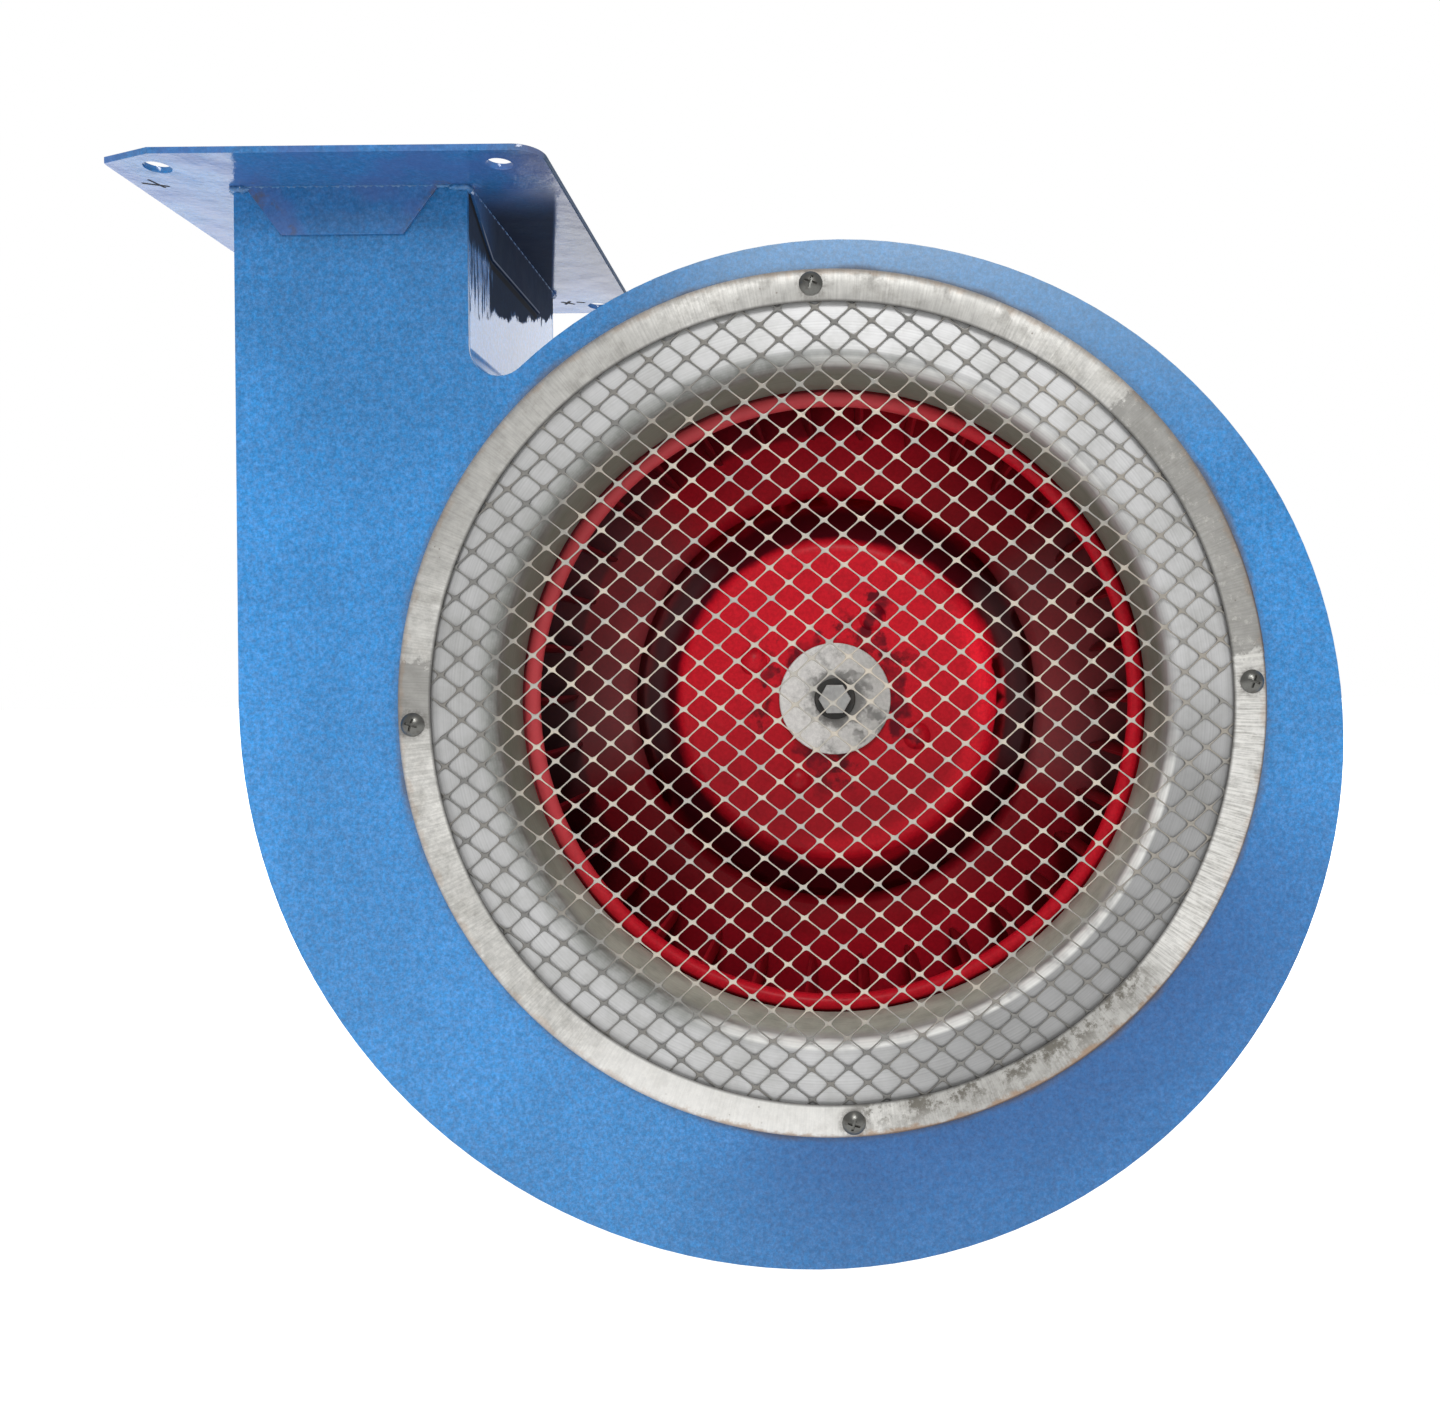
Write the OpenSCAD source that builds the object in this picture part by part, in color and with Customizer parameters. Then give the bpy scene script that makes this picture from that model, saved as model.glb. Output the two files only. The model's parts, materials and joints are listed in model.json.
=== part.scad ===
// Centrifugal blower: scroll casing with a top outlet flange, guarded spun inlet,
// forward-curved wheel and a flange-mounted electric motor on the back plate.
// Frame: X right, Y from the inlet towards the motor, Z up.
// Origin: centre of the outlet flange's bolt pattern, on the flange's top face.

/* [Scroll casing] */
// Depth of the casing over both side plates
casing_depth = 134; // [128:1:150]
// Thickness of the side plates and of the scroll wrap
sheet = 2; // [1.5:0.5:2.5]
// Fan axis below the top face of the outlet flange
axis_drop = 212; // [210:1:230]
// Casing reach above the fan axis
reach_top = 186.5; // [184:0.5:190]
// Casing reach to the right of the fan axis
reach_right = 205.5; // [203:0.5:208]
// Casing reach below the fan axis
reach_bottom = 228; // [226:0.5:230]
// Casing reach to the left of the fan axis, which is the duct's outer wall
reach_left = 239; // [237:0.5:241]
// Radius of the first arc of the scroll, from the cut-off to the top
first_arc_r = 190; // [186:1:192]
// Drop of the second arc's centre below the fan axis
second_arc_drop = 15; // [13:1:17]
// Outside radius of the rounded cut-off between duct and scroll
cutoff_r = 12; // [10:1:14]

/* [Outlet] */
// Outside width of the outlet duct
duct_w = 94; // [90:1:98]
// Width of the outlet flange
flange_w = 169; // [166:1:180]
// Length of the outlet flange, along the fan axis
flange_l = 196; // [192:1:210]
// Thickness of the outlet flange
flange_t = 2.5; // [2:0.5:4]
// Corner radius of the outlet flange
flange_corner_r = 11; // [8:1:14]
// Bolt spacing across the flange
bolt_spacing_x = 132; // [128:1:136]
// Bolt spacing along the flange
bolt_spacing_y = 172; // [168:1:176]
// Radius of the flange bolt holes
flange_hole_r = 5; // [4.5:0.5:5.5]
// Height of the tabs that are folded down from the flange's opening onto the duct
tab_h = 19.5; // [12:0.5:24]

/* [Inlet and guard] */
// Outside radius of the guard ring
ring_r = 174; // [173.5:0.5:175]
// Inside radius of the guard ring
ring_inner_r = 160.5; // [158:0.5:162]
// Sheet thickness of ring and inlet cone
trim_sheet = 1.5; // [1.5:0.1:1.6]
// Radius of the four guard screws' circle
guard_screw_circle_r = 167.5; // [166:0.5:169]
// Turn of the guard screws from the square position
guard_screw_turn = -2.4; // [-10:0.1:10]
// Radius at which the inlet cone bends inward
cone_bend_r = 142; // [141:0.5:143]
// Radius of the inlet throat at its inner end
throat_r = 135.5; // [135:0.5:136]
// Depth of the throat's end behind the casing's front face
throat_depth = 38; // [36:1:38]
// Long way of a guard mesh diamond
mesh_long = 14.9; // [12:0.1:20]
// Short way of a guard mesh diamond
mesh_short = 12.2; // [10:0.1:16]
// Width of one mesh strand
strand_w = 1.1; // [0.8:0.1:1.6]
// Turn of the mesh from level
mesh_turn = -2; // [-10:0.5:10]

/* [Wheel] */
// Outside radius of the wheel
wheel_r = 155; // [150:1:158]
// Inner radius of the wheel's front ring
eye_r = 128.5; // [128:0.5:129]
// Number of blades
blade_count = 34; // [24:1:40]
// Thickness of one blade
blade_t = 1.2; // [1:0.1:1.5]
// Depth of the wheel's front ring, back face
wheel_front = 44.5; // [44.5:0.5:45]
// Depth of the back disc's front face
wheel_back = 116; // [112:1:117]
// Thickness of the wheel's sheet metal
wheel_sheet = 2; // [1.5:0.5:2]
// Depth of the raised centre's front face
dome_front = 76; // [75:0.5:77]
// Radius of the raised centre's flat top
dome_r = 78; // [74:1:80]
// Radius of the raised centre's base
dome_base_r = 105; // [100:1:110]
// Radius of the circle of hub rivets
rivet_circle_r = 42; // [40:1:44]
// Turn of the hub rivets
rivet_turn = 25; // [0:1:90]

/* [Motor] */
// Radius of the motor's mounting flange
motor_flange_r = 100; // [95:1:105]
// Radius of the motor flange's bolt circle
motor_bolt_circle_r = 82.5; // [82:0.5:83]
// Radius of the motor flange's spigot
spigot_r = 65; // [60:1:66]
// Radius of the shaft extension
shaft_r = 12; // [11.5:0.5:12]
// Radius over the cooling fins
fin_r = 84; // [82:1:84]
// Number of cooling fins
fin_count = 28; // [20:4:36]
// Length of the finned housing
housing_length = 146; // [146:1:160]

/* [Hidden] */
$fn = 96;
eps = 0.02;
wide = 500;

steel_blue = [0.29, 0.50, 0.72];
wheel_red = [0.70, 0.13, 0.15];
zinc = [0.72, 0.71, 0.68];
spun_grey = [0.74, 0.74, 0.72];
strand_grey = [0.66, 0.64, 0.58];
bright_steel = [0.78, 0.78, 0.80];
dark_steel = [0.38, 0.38, 0.40];
motor_grey = [0.45, 0.50, 0.55];
copper = [0.78, 0.45, 0.25];
brass = [0.80, 0.66, 0.35];
black = [0.12, 0.12, 0.13];

// Fan axis in the row's own frame
axis_x = reach_left - duct_w / 2;

// Scroll arcs: centres [right, down] from the fan axis, each tangent to the next
c0 = [second_x(), first_arc_r - reach_top];
c1 = [second_x(), second_arc_drop];
r1 = reach_top + second_arc_drop;
r2 = reach_bottom - second_arc_drop;
c2 = [reach_right - r2, second_arc_drop];
r3 = reach_left + c2[0];
c3 = [c2[0], reach_bottom - r3];
function second_x() = reach_right - reach_top - second_arc_drop;

// Outlet duct and the rounded cut-off beside it
duct_left = -reach_left;
duct_right = duct_left + duct_w;
duct_top = axis_drop - flange_t;
cutoff_x = duct_right + cutoff_r;
cutoff_reach = first_arc_r + cutoff_r;
cutoff_y = c0[1] - sqrt(pow(cutoff_reach, 2) - pow(cutoff_x - c0[0], 2));
tab_t = 1.2;
front_tab = [39, 24.5, -3];
side_tab = [66, 37, 0];

// Inlet, from the front plate's face outward
plate_hole_r = 143;
cone_flange_r = 172;
cone_flange_z = -trim_sheet;
bend_r = 6;
mesh_t = 1.5;
mesh_z = cone_flange_z - mesh_t;
ring_z = mesh_z - trim_sheet;
ring_lip_r = 3;
guard_screw_r = 2.5;
guard_head_r = 4.75;
guard_head_h = 2.4;
strand_edge_r = 171;

// Wheel
bead_r = 3.5;
dome_bend_r = 9;
bead_pos = [eye_r + bead_r, wheel_front - bead_r];
blade_inner_r = eye_r + 1;
blade_outer_r = wheel_r - 1;
blade_arc_r = 17;
blade_arc_centre = [blade_inner_r + 10.5, 15];
hub_flange_r = 52;
hub_flange_t = 6;
hub_boss_r = 24;
hub_end = 126;
hub_spigot_r = 20;
rivet_r = 3;
rivet_head_r = 6.5;
rivet_head_h = 3.5;
washer_r = 26;
washer_t = 3;
flat_washer_r = 9.5;
flat_washer_t = 2;
hub_bolt_r = 4;
hub_bolt_af = 13;
hub_bolt_head_h = 5.3;

// Motor, as depths behind the casing's front face
motor_face = casing_depth;
shaft_end = motor_face - 50;
flange_back = motor_face + 12;
housing_front = motor_face + 18;
housing_back = housing_front + housing_length;
housing_r = 76;
housing_bore_r = 70;
core_front = housing_front + 33;
core_length = 80;
core_back = core_front + core_length;
rotor_r = 38.6;
stator_bore_r = 39;
core_shaft_r = 14;
seat_r = 12.5;
front_bearing_z = motor_face + 16;
front_bearing_w = 15;
front_bearing_r = 26;
rear_seat_r = 10;
rear_bearing_w = 14;
rear_bearing_z = housing_back - 8;
rear_bearing_r = 23.5;
fan_seat_r = 9;
rear_shield_back = housing_back + 12;
fan_z = rear_shield_back + 4;
fan_depth = 20;
cowl_r = 85;
cowl_front = housing_back + 2;
cowl_back = fan_z + fan_depth + 12;
tie_circle_r = 79.5;
tie_r = 2.5;
motor_bolt_r = 5;
motor_bolt_af = 16;
motor_nut_h = 8;
motor_bolt_head_h = 6.4;
bolt_pocket_r = 10;
bolt_pocket_end = flange_back + motor_bolt_head_h + 3.6;

// Terminal box on top of the motor, heights measured up from the fan axis
box_half = 46;
box_mid = (housing_front + housing_back) / 2;
box_floor = 90;
box_h = 32;
box_wall = 3;
gasket_t = 1.5;
lid_t = 7;
box_top = box_floor + box_h;
lid_floor = box_top + gasket_t;
post_inset = 6;
post_r = 5;
lid_screw_r = 2;
gland_height = box_floor + 17;
gland_bore_r = 5.5;
gland_thread_r = 10;
gland_hex_af = 24;
gland_hex_h = 7;
gland_body_l = 12;

// ---------------------------------------------------------------- helpers

// Fan frame: x right, y down, z inward from the casing's front face
module fan_frame() {
    translate([axis_x, -casing_depth / 2, -axis_drop])
        rotate([-90, 0, 0])
            children();
}

// Flat ring between two depths
module ring(outer, inner, z0, z1) {
    translate([0, 0, z0])
        linear_extrude(z1 - z0)
            difference() {
                circle(outer);
                circle(inner);
            }
}

module disc(radius, z0, z1) {
    translate([0, 0, z0])
        cylinder(r = radius, h = z1 - z0);
}

// Rectangle of a revolved profile: radius from a to b, depth from z0 to z1
module band(a, b, z0, z1) {
    translate([a, z0])
        square([b - a, z1 - z0]);
}

module around(count, radius, turn = 0) {
    for (i = [0 : count - 1])
        rotate([0, 0, turn + i * 360 / count])
            translate([radius, 0, 0])
                children();
}

module hexagon(across_flats) {
    circle(r = across_flats / sqrt(3), $fn = 6);
}

module hex_prism(across_flats, z0, z1) {
    translate([0, 0, z0])
        linear_extrude(z1 - z0)
            hexagon(across_flats);
}

// ---------------------------------------------------------------- casing

module quarter(centre, radius, side_x, side_y) {
    translate(centre)
        intersection() {
            circle(radius);
            translate([side_x > 0 ? 0 : -radius, side_y > 0 ? 0 : -radius])
                square(radius);
        }
}

// Fills the corner between duct and first arc, less the round cut-off
module cutoff_corner(inset) {
    reach = first_arc_r - inset - 1;
    toward = [cutoff_x - c0[0], cutoff_y - c0[1]] / cutoff_reach;
    foot = c0 + reach * toward;
    inside_x = duct_right - inset - 1;
    difference() {
        polygon([
            [inside_x, cutoff_y],
            [cutoff_x, cutoff_y],
            foot,
            [inside_x, foot[1] + 30]
        ]);
        translate([cutoff_x, cutoff_y])
            circle(cutoff_r + inset);
    }
}

// Side view of the casing, drawn in by an even inset; the duct ends at its own height
module scroll_outline(inset = 0, top = duct_top) {
    quarter(c0, first_arc_r - inset, -1, -1);
    quarter(c1, r1 - inset, 1, -1);
    quarter(c2, r2 - inset, 1, 1);
    quarter(c3, r3 - inset, -1, 1);
    translate([c3[0] - 20, c3[1]])
        square([40 + c1[0] - c3[0], 20 + c1[1] - c3[1]]);
    translate([duct_left + inset, -top])
        square([duct_w - 2 * inset, top + c3[1]]);
    cutoff_corner(inset);
}

module front_plate() {
    color(steel_blue)
        fan_frame()
            difference() {
                linear_extrude(sheet)
                    difference() {
                        scroll_outline();
                        circle(plate_hole_r);
                    }
                around(4, guard_screw_circle_r, guard_screw_turn)
                    disc(guard_screw_r + 1.05, -1, sheet + 1);
            }
}

module back_plate() {
    color(steel_blue)
        fan_frame()
            difference() {
                translate([0, 0, casing_depth - sheet])
                    linear_extrude(sheet)
                        difference() {
                            scroll_outline();
                            circle(spigot_r + 0.1);
                        }
                around(4, motor_bolt_circle_r, 45)
                    disc(motor_bolt_r + 0.5, casing_depth - sheet - 1, casing_depth + 1);
            }
}

module scroll_wrap() {
    color(steel_blue)
        fan_frame()
            translate([0, 0, sheet])
                linear_extrude(casing_depth - 2 * sheet)
                    difference() {
                        scroll_outline();
                        scroll_outline(sheet, duct_top + 1);
                    }
}

module flange_blank() {
    half_x = flange_w / 2 - flange_corner_r;
    half_y = flange_l / 2 - flange_corner_r;
    square([flange_w, 2 * half_y], center = true);
    square([2 * half_x, flange_l], center = true);
    for (sx = [-1, 1], sy = [-1, 1])
        translate([sx * half_x, sy * half_y])
            circle(flange_corner_r);
}

// The front left corner is trimmed by a slanting cut
module corner_trim() {
    polygon([
        [-flange_w / 2 - 1, -flange_l / 2 - 1],
        [-flange_w / 2 + 24, -flange_l / 2 - 1],
        [-flange_w / 2 - 1, -flange_l / 2 + 8.5]
    ]);
}

// Tab lapped on one duct wall, as [half width at the flange, half width at its foot, shift]
module flange_tab(wall, tab) {
    translate([tab[2], -wall, 0])
        rotate([90, 0, 0])
            linear_extrude(tab_t)
                polygon([
                    [-tab[0], eps],
                    [tab[0], eps],
                    [tab[1], -tab_h],
                    [-tab[1], -tab_h]
                ]);
}

module flange_plate() {
    difference() {
        linear_extrude(flange_t)
            difference() {
                flange_blank();
                corner_trim();
                square([duct_w - 2 * sheet, casing_depth - 2 * sheet], center = true);
            }
        for (sx = [-1, 1], sy = [-1, 1])
            translate([sx * bolt_spacing_x / 2, sy * bolt_spacing_y / 2, -1])
                cylinder(r = flange_hole_r, h = flange_t + 2);
    }
}

module outlet_flange() {
    color(steel_blue)
        translate([0, 0, -flange_t]) {
            flange_plate();
            for (turn = [0, 180])
                rotate([0, 0, turn])
                    flange_tab(casing_depth / 2, front_tab);
            for (turn = [90, 270])
                rotate([0, 0, turn])
                    flange_tab(duct_w / 2, side_tab);
        }
}

// ---------------------------------------------------------------- inlet

// Spun cone: flat rim, quarter-round bend, then a slightly tapered throat
module cone_profile() {
    bend_z = cone_flange_z + bend_r;
    wall_top = cone_bend_r - bend_r;
    band(cone_bend_r, cone_flange_r, cone_flange_z, 0);
    intersection() {
        translate([cone_bend_r, bend_z])
            difference() {
                circle(bend_r);
                circle(bend_r - trim_sheet);
            }
        band(wall_top, cone_bend_r, cone_flange_z, bend_z);
    }
    polygon([
        [wall_top, bend_z],
        [wall_top + trim_sheet, bend_z],
        [throat_r + trim_sheet, throat_depth],
        [throat_r, throat_depth]
    ]);
}

module inlet_cone() {
    color(spun_grey)
        fan_frame()
            difference() {
                rotate_extrude()
                    cone_profile();
                around(4, guard_screw_circle_r, guard_screw_turn)
                    disc(guard_screw_r + 0.3, cone_flange_z - 1, 1);
            }
}

// One family of parallel strands, each as long as its chord of the clamped circle
module strands(slope, z0, z1) {
    pitch = mesh_long * mesh_short / sqrt(pow(mesh_long, 2) + pow(mesh_short, 2));
    steps = floor((strand_edge_r - 8) / pitch);
    for (i = [-steps : steps]) {
        half = sqrt(pow(strand_edge_r, 2) - pow(i * pitch, 2)) - 1;
        rotate([0, 0, slope])
            translate([-half, i * pitch - strand_w / 2, z0])
                cube([2 * half, strand_w, z1 - z0]);
    }
}

module guard_mesh() {
    slope = atan(mesh_short / mesh_long);
    middle = mesh_z + mesh_t / 2;
    color(strand_grey)
        fan_frame()
            difference() {
                union() {
                    strands(mesh_turn + slope, mesh_z, middle - eps);
                    strands(mesh_turn - slope, middle + eps, cone_flange_z);
                }
                around(4, guard_screw_circle_r, guard_screw_turn)
                    disc(guard_screw_r + 0.3, mesh_z - 1, 1);
            }
}

// Flat face with a turned-down outer lip that reaches the casing
module ring_profile() {
    lip_r = ring_r - ring_lip_r;
    band(ring_inner_r, lip_r, ring_z, mesh_z);
    intersection() {
        translate([lip_r, ring_z + ring_lip_r])
            difference() {
                circle(ring_lip_r);
                circle(ring_lip_r - trim_sheet);
            }
        band(lip_r, ring_r, ring_z, ring_z + ring_lip_r);
    }
    band(ring_r - trim_sheet, ring_r, ring_z + ring_lip_r, 0);
}

module guard_ring() {
    color(zinc)
        fan_frame()
            difference() {
                rotate_extrude()
                    ring_profile();
                around(4, guard_screw_circle_r, guard_screw_turn)
                    disc(guard_screw_r + 0.3, ring_z - 1, mesh_z + 1);
            }
}

// Cross recess of the guard screws
module cross_recess(z0, depth) {
    for (turn = [20, 110])
        rotate([0, 0, turn])
            translate([-2.6, -0.5, z0])
                cube([5.2, 1, depth]);
}

module guard_screw() {
    head_z = ring_z - guard_head_h;
    difference() {
        union() {
            translate([0, 0, ring_z])
                rotate([180, 0, 0])
                    rotate_extrude()
                        pan_head_profile(guard_head_r, guard_head_h);
            disc(guard_screw_r, ring_z, sheet + 6.5);
        }
        cross_recess(head_z - 1, 2.4);
    }
}

// Low domed head standing on the line y = 0
module pan_head_profile(radius, height) {
    cap_r = (radius * radius + height * height) / (2 * height);
    intersection() {
        translate([0, height - cap_r])
            circle(cap_r);
        square([radius, height]);
    }
}

module guard_screws() {
    color(dark_steel)
        fan_frame()
            around(4, guard_screw_circle_r, guard_screw_turn)
                guard_screw();
}

// Rivet nuts set in the front plate
module guard_nuts() {
    color(bright_steel)
        fan_frame()
            around(4, guard_screw_circle_r, guard_screw_turn) {
                ring(guard_screw_r + 1, guard_screw_r + 0.05, 0, sheet);
                ring(guard_screw_r + 2.2, guard_screw_r + 0.05, sheet, sheet + 6);
            }
}

// ---------------------------------------------------------------- wheel

module impeller_front_ring() {
    color(wheel_red)
        fan_frame()
            rotate_extrude() {
                translate(bead_pos)
                    circle(bead_r);
                band(bead_pos[0], wheel_r, wheel_front - 1.5, wheel_front);
            }
}

// Forward-curved blade section: an arc cut off at the wheel's inner and outer radius
module blade_section() {
    intersection() {
        translate(blade_arc_centre)
            difference() {
                circle(blade_arc_r + blade_t / 2);
                circle(blade_arc_r - blade_t / 2);
            }
        difference() {
            circle(blade_outer_r);
            circle(blade_inner_r);
        }
        translate([blade_inner_r - 5, -8])
            square([blade_outer_r - blade_inner_r + 10, 18]);
    }
}

module impeller_blades() {
    color(wheel_red)
        fan_frame()
            for (i = [0 : blade_count - 1])
                rotate([0, 0, i * 360 / blade_count])
                    translate([0, 0, wheel_front])
                        linear_extrude(wheel_back - wheel_front)
                            blade_section();
}

// Bent stretch of sheet in a revolved profile: a ring sector between two directions
module sheet_bend(centre, outer, from, to) {
    reach = 2 * outer;
    middle = (from + to) / 2;
    translate(centre)
        intersection() {
            difference() {
                circle(outer);
                circle(outer - wheel_sheet);
            }
            polygon([
                [0, 0],
                reach * [cos(from), sin(from)],
                reach * [cos(middle), sin(middle)],
                reach * [cos(to), sin(to)]
            ]);
        }
}

// Back disc pressed from one sheet: flat centre, round shoulder, slope, round foot, flat rim
module back_disc_profile() {
    hole = hub_spigot_r + 0.1;
    top = [dome_r - dome_bend_r, dome_front + dome_bend_r];
    foot = [dome_base_r, wheel_back + wheel_sheet - dome_bend_r];
    span = foot - top;
    lean = atan2(span[1], span[0]) + asin((2 * dome_bend_r - wheel_sheet) / norm(span));
    away = [sin(lean), -cos(lean)];
    band(hole, top[0], dome_front, dome_front + wheel_sheet);
    sheet_bend(top, dome_bend_r, -90, lean - 90);
    polygon([
        top + dome_bend_r * away,
        top + (dome_bend_r - wheel_sheet) * away,
        foot - dome_bend_r * away,
        foot - (dome_bend_r - wheel_sheet) * away
    ]);
    sheet_bend(foot, dome_bend_r, lean + 90, 90);
    band(foot[0], wheel_r, wheel_back, wheel_back + wheel_sheet);
}

module impeller_back_disc() {
    color(wheel_red)
        fan_frame()
            difference() {
                rotate_extrude()
                    back_disc_profile();
                around(4, rivet_circle_r, rivet_turn)
                    disc(rivet_r + 0.05, dome_front - 1, dome_front + wheel_sheet + 1);
            }
}

module impeller_hub() {
    flange_z = dome_front + wheel_sheet;
    color(dark_steel)
        fan_frame()
            difference() {
                union() {
                    disc(hub_spigot_r, dome_front, flange_z);
                    disc(hub_flange_r, flange_z, flange_z + hub_flange_t);
                    disc(hub_boss_r, flange_z + hub_flange_t, hub_end);
                }
                disc(shaft_r + 0.05, dome_front - 1, hub_end + 1);
                translate([-4.05, -shaft_r - 3.6, shaft_end])
                    cube([8.1, shaft_r, hub_end - shaft_end + 1]);
                around(4, rivet_circle_r, rivet_turn)
                    disc(rivet_r + 0.05, flange_z - 1, flange_z + hub_flange_t + 1);
            }
}

module hub_rivet() {
    back = dome_front + wheel_sheet + hub_flange_t;
    disc(rivet_r, dome_front, back);
    translate([0, 0, dome_front])
        rotate([180, 0, 0])
            rotate_extrude()
                pan_head_profile(rivet_head_r, rivet_head_h);
    disc(rivet_head_r - 1, back, back + 2.5);
}

module hub_rivets() {
    color(wheel_red)
        fan_frame()
            around(4, rivet_circle_r, rivet_turn)
                hub_rivet();
}

module hub_washer() {
    color(spun_grey)
        fan_frame()
            ring(washer_r, hub_bolt_r + 0.5, dome_front - washer_t, dome_front);
}

module hub_flat_washer() {
    seat = dome_front - washer_t;
    color(bright_steel)
        fan_frame()
            ring(flat_washer_r, hub_bolt_r + 0.3, seat - flat_washer_t, seat);
}

module hub_bolt() {
    seat = dome_front - washer_t - flat_washer_t;
    color(bright_steel)
        fan_frame() {
            hex_prism(hub_bolt_af, seat - hub_bolt_head_h, seat);
            disc(hub_bolt_r, seat, shaft_end + 22);
        }
}

module shaft_key() {
    color(bright_steel)
        fan_frame()
            translate([-4, -shaft_r - 3, shaft_end + 8])
                cube([8, 7, 32]);
}

// ---------------------------------------------------------------- rotating motor parts

module motor_shaft() {
    color(bright_steel)
        fan_frame()
            difference() {
                rotate_extrude() {
                    band(0, shaft_r, shaft_end, motor_face + 2);
                    band(0, seat_r, motor_face + 2, front_bearing_z + front_bearing_w);
                    band(0, core_shaft_r, front_bearing_z + front_bearing_w, rear_bearing_z);
                    band(0, rear_seat_r, rear_bearing_z, rear_shield_back - 2);
                    band(0, fan_seat_r, rear_shield_back - 2, fan_z + fan_depth);
                }
                disc(hub_bolt_r + 0.05, shaft_end - 1, shaft_end + 25);
                translate([-4.02, -shaft_r - 1, shaft_end + 7.9])
                    cube([8.04, 5.02, 32.2]);
            }
}

module rotor_core() {
    color(dark_steel)
        fan_frame()
            ring(rotor_r, core_shaft_r + eps, core_front, core_back);
}

// Cast end ring of the rotor cage with short stirring vanes
module end_ring(z0, z1, vane_z0, vane_z1) {
    ring(rotor_r - 2, rotor_r - 12, z0, z1);
    around(8, rotor_r - 9)
        translate([0, -1, vane_z0])
            cube([6, 2, vane_z1 - vane_z0]);
}

module rotor_end_rings() {
    color(spun_grey)
        fan_frame() {
            end_ring(core_front - 7, core_front, core_front - 14, core_front - 6);
            end_ring(core_back, core_back + 7, core_back + 6, core_back + 14);
        }
}

module cooling_fan() {
    color(black)
        fan_frame()
            difference() {
                union() {
                    disc(16, fan_z, fan_z + fan_depth);
                    disc(42, fan_z, fan_z + 2.5);
                    around(7, 12)
                        translate([0, -1.1, fan_z])
                            cube([54, 2.2, fan_depth]);
                }
                disc(fan_seat_r + eps, fan_z - 1, fan_z + fan_depth + 1);
            }
}

// ---------------------------------------------------------------- bearings

// Deep-groove ball bearing, given as [bore r, outer r, width, front depth, ball r, balls]
front_bearing = [seat_r, front_bearing_r, front_bearing_w, front_bearing_z, 3.9, 9];
rear_bearing = [rear_seat_r, rear_bearing_r, rear_bearing_w, rear_bearing_z, 3.9, 8];
function pitch_r(b) = (b[0] + b[1]) / 2;
function mid_z(b) = b[3] + b[2] / 2;

module race_ring(b, inner, outer) {
    rotate_extrude()
        difference() {
            band(inner, outer, b[3], b[3] + b[2]);
            translate([pitch_r(b), mid_z(b)])
                circle(b[4] + 0.1);
        }
}

module bearing_inner(b) {
    color(bright_steel)
        fan_frame()
            race_ring(b, b[0] + eps, pitch_r(b) - 2.4);
}

module bearing_outer(b) {
    color(bright_steel)
        fan_frame()
            race_ring(b, pitch_r(b) + 2.4, b[1]);
}

module bearing_balls(b) {
    color(bright_steel)
        fan_frame()
            around(b[5], pitch_r(b))
                translate([0, 0, mid_z(b)])
                    sphere(b[4]);
}

module bearing_cage(b) {
    color(brass)
        fan_frame()
            difference() {
                ring(pitch_r(b) + 1, pitch_r(b) - 1, mid_z(b) - 5.2, mid_z(b) + 5.2);
                around(b[5], pitch_r(b) - 3)
                    translate([0, 0, mid_z(b)])
                        rotate([0, 90, 0])
                            cylinder(r = b[4] + 0.1, h = 6);
            }
}

module bearing_wave_washer() {
    z0 = rear_bearing_z + rear_bearing_w;
    color(bright_steel)
        fan_frame()
            ring(rear_bearing_r - 0.3, rear_bearing_r - 4, z0 + 0.2, z0 + 1.8);
}

module shaft_seal() {
    color(black)
        fan_frame()
            ring(20, seat_r + 0.05, motor_face + 4, motor_face + 11);
}

// ---------------------------------------------------------------- fixed motor parts

module stator_core() {
    color(dark_steel)
        fan_frame()
            translate([0, 0, core_front])
                linear_extrude(core_length)
                    difference() {
                        circle(housing_bore_r - eps);
                        circle(stator_bore_r);
                        around(24, stator_bore_r - 1)
                            translate([0, -1.9])
                                square([16, 3.8]);
                    }
}

// Two end windings joined by the conductors in the slots
module stator_windings() {
    color(copper)
        fan_frame() {
            ring(60, 42, core_front - 16, core_front);
            ring(60, 42, core_back, core_back + 16);
            around(24, 43)
                translate([0, -1.7, core_front])
                    cube([10.5, 3.4, core_length]);
        }
}

module front_shield_profile() {
    face = motor_face;
    boss_end = front_bearing_z + front_bearing_w + 1;
    band(48, spigot_r, face - 3.5, face);
    band(14, motor_flange_r, face, face + 4);
    band(20, motor_flange_r, face + 4, face + 11);
    band(17, motor_flange_r, face + 11, flange_back);
    band(17, 34, flange_back, front_bearing_z);
    band(front_bearing_r + eps, 34, front_bearing_z, boss_end);
    band(62, fin_r, flange_back, housing_front);
    band(62, housing_bore_r - 0.1, housing_front, housing_front + 6);
}

module motor_front_shield() {
    color(motor_grey)
        fan_frame()
            difference() {
                rotate_extrude()
                    front_shield_profile();
                around(4, motor_bolt_circle_r, 45)
                    disc(motor_bolt_r + 0.5, motor_face - 1, motor_face + 30);
                around(4, motor_bolt_circle_r, 45)
                    disc(12, flange_back, motor_face + 30);
                around(4, tie_circle_r)
                    disc(tie_r + 0.05, motor_face + 6, housing_front + 1);
            }
}

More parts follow.
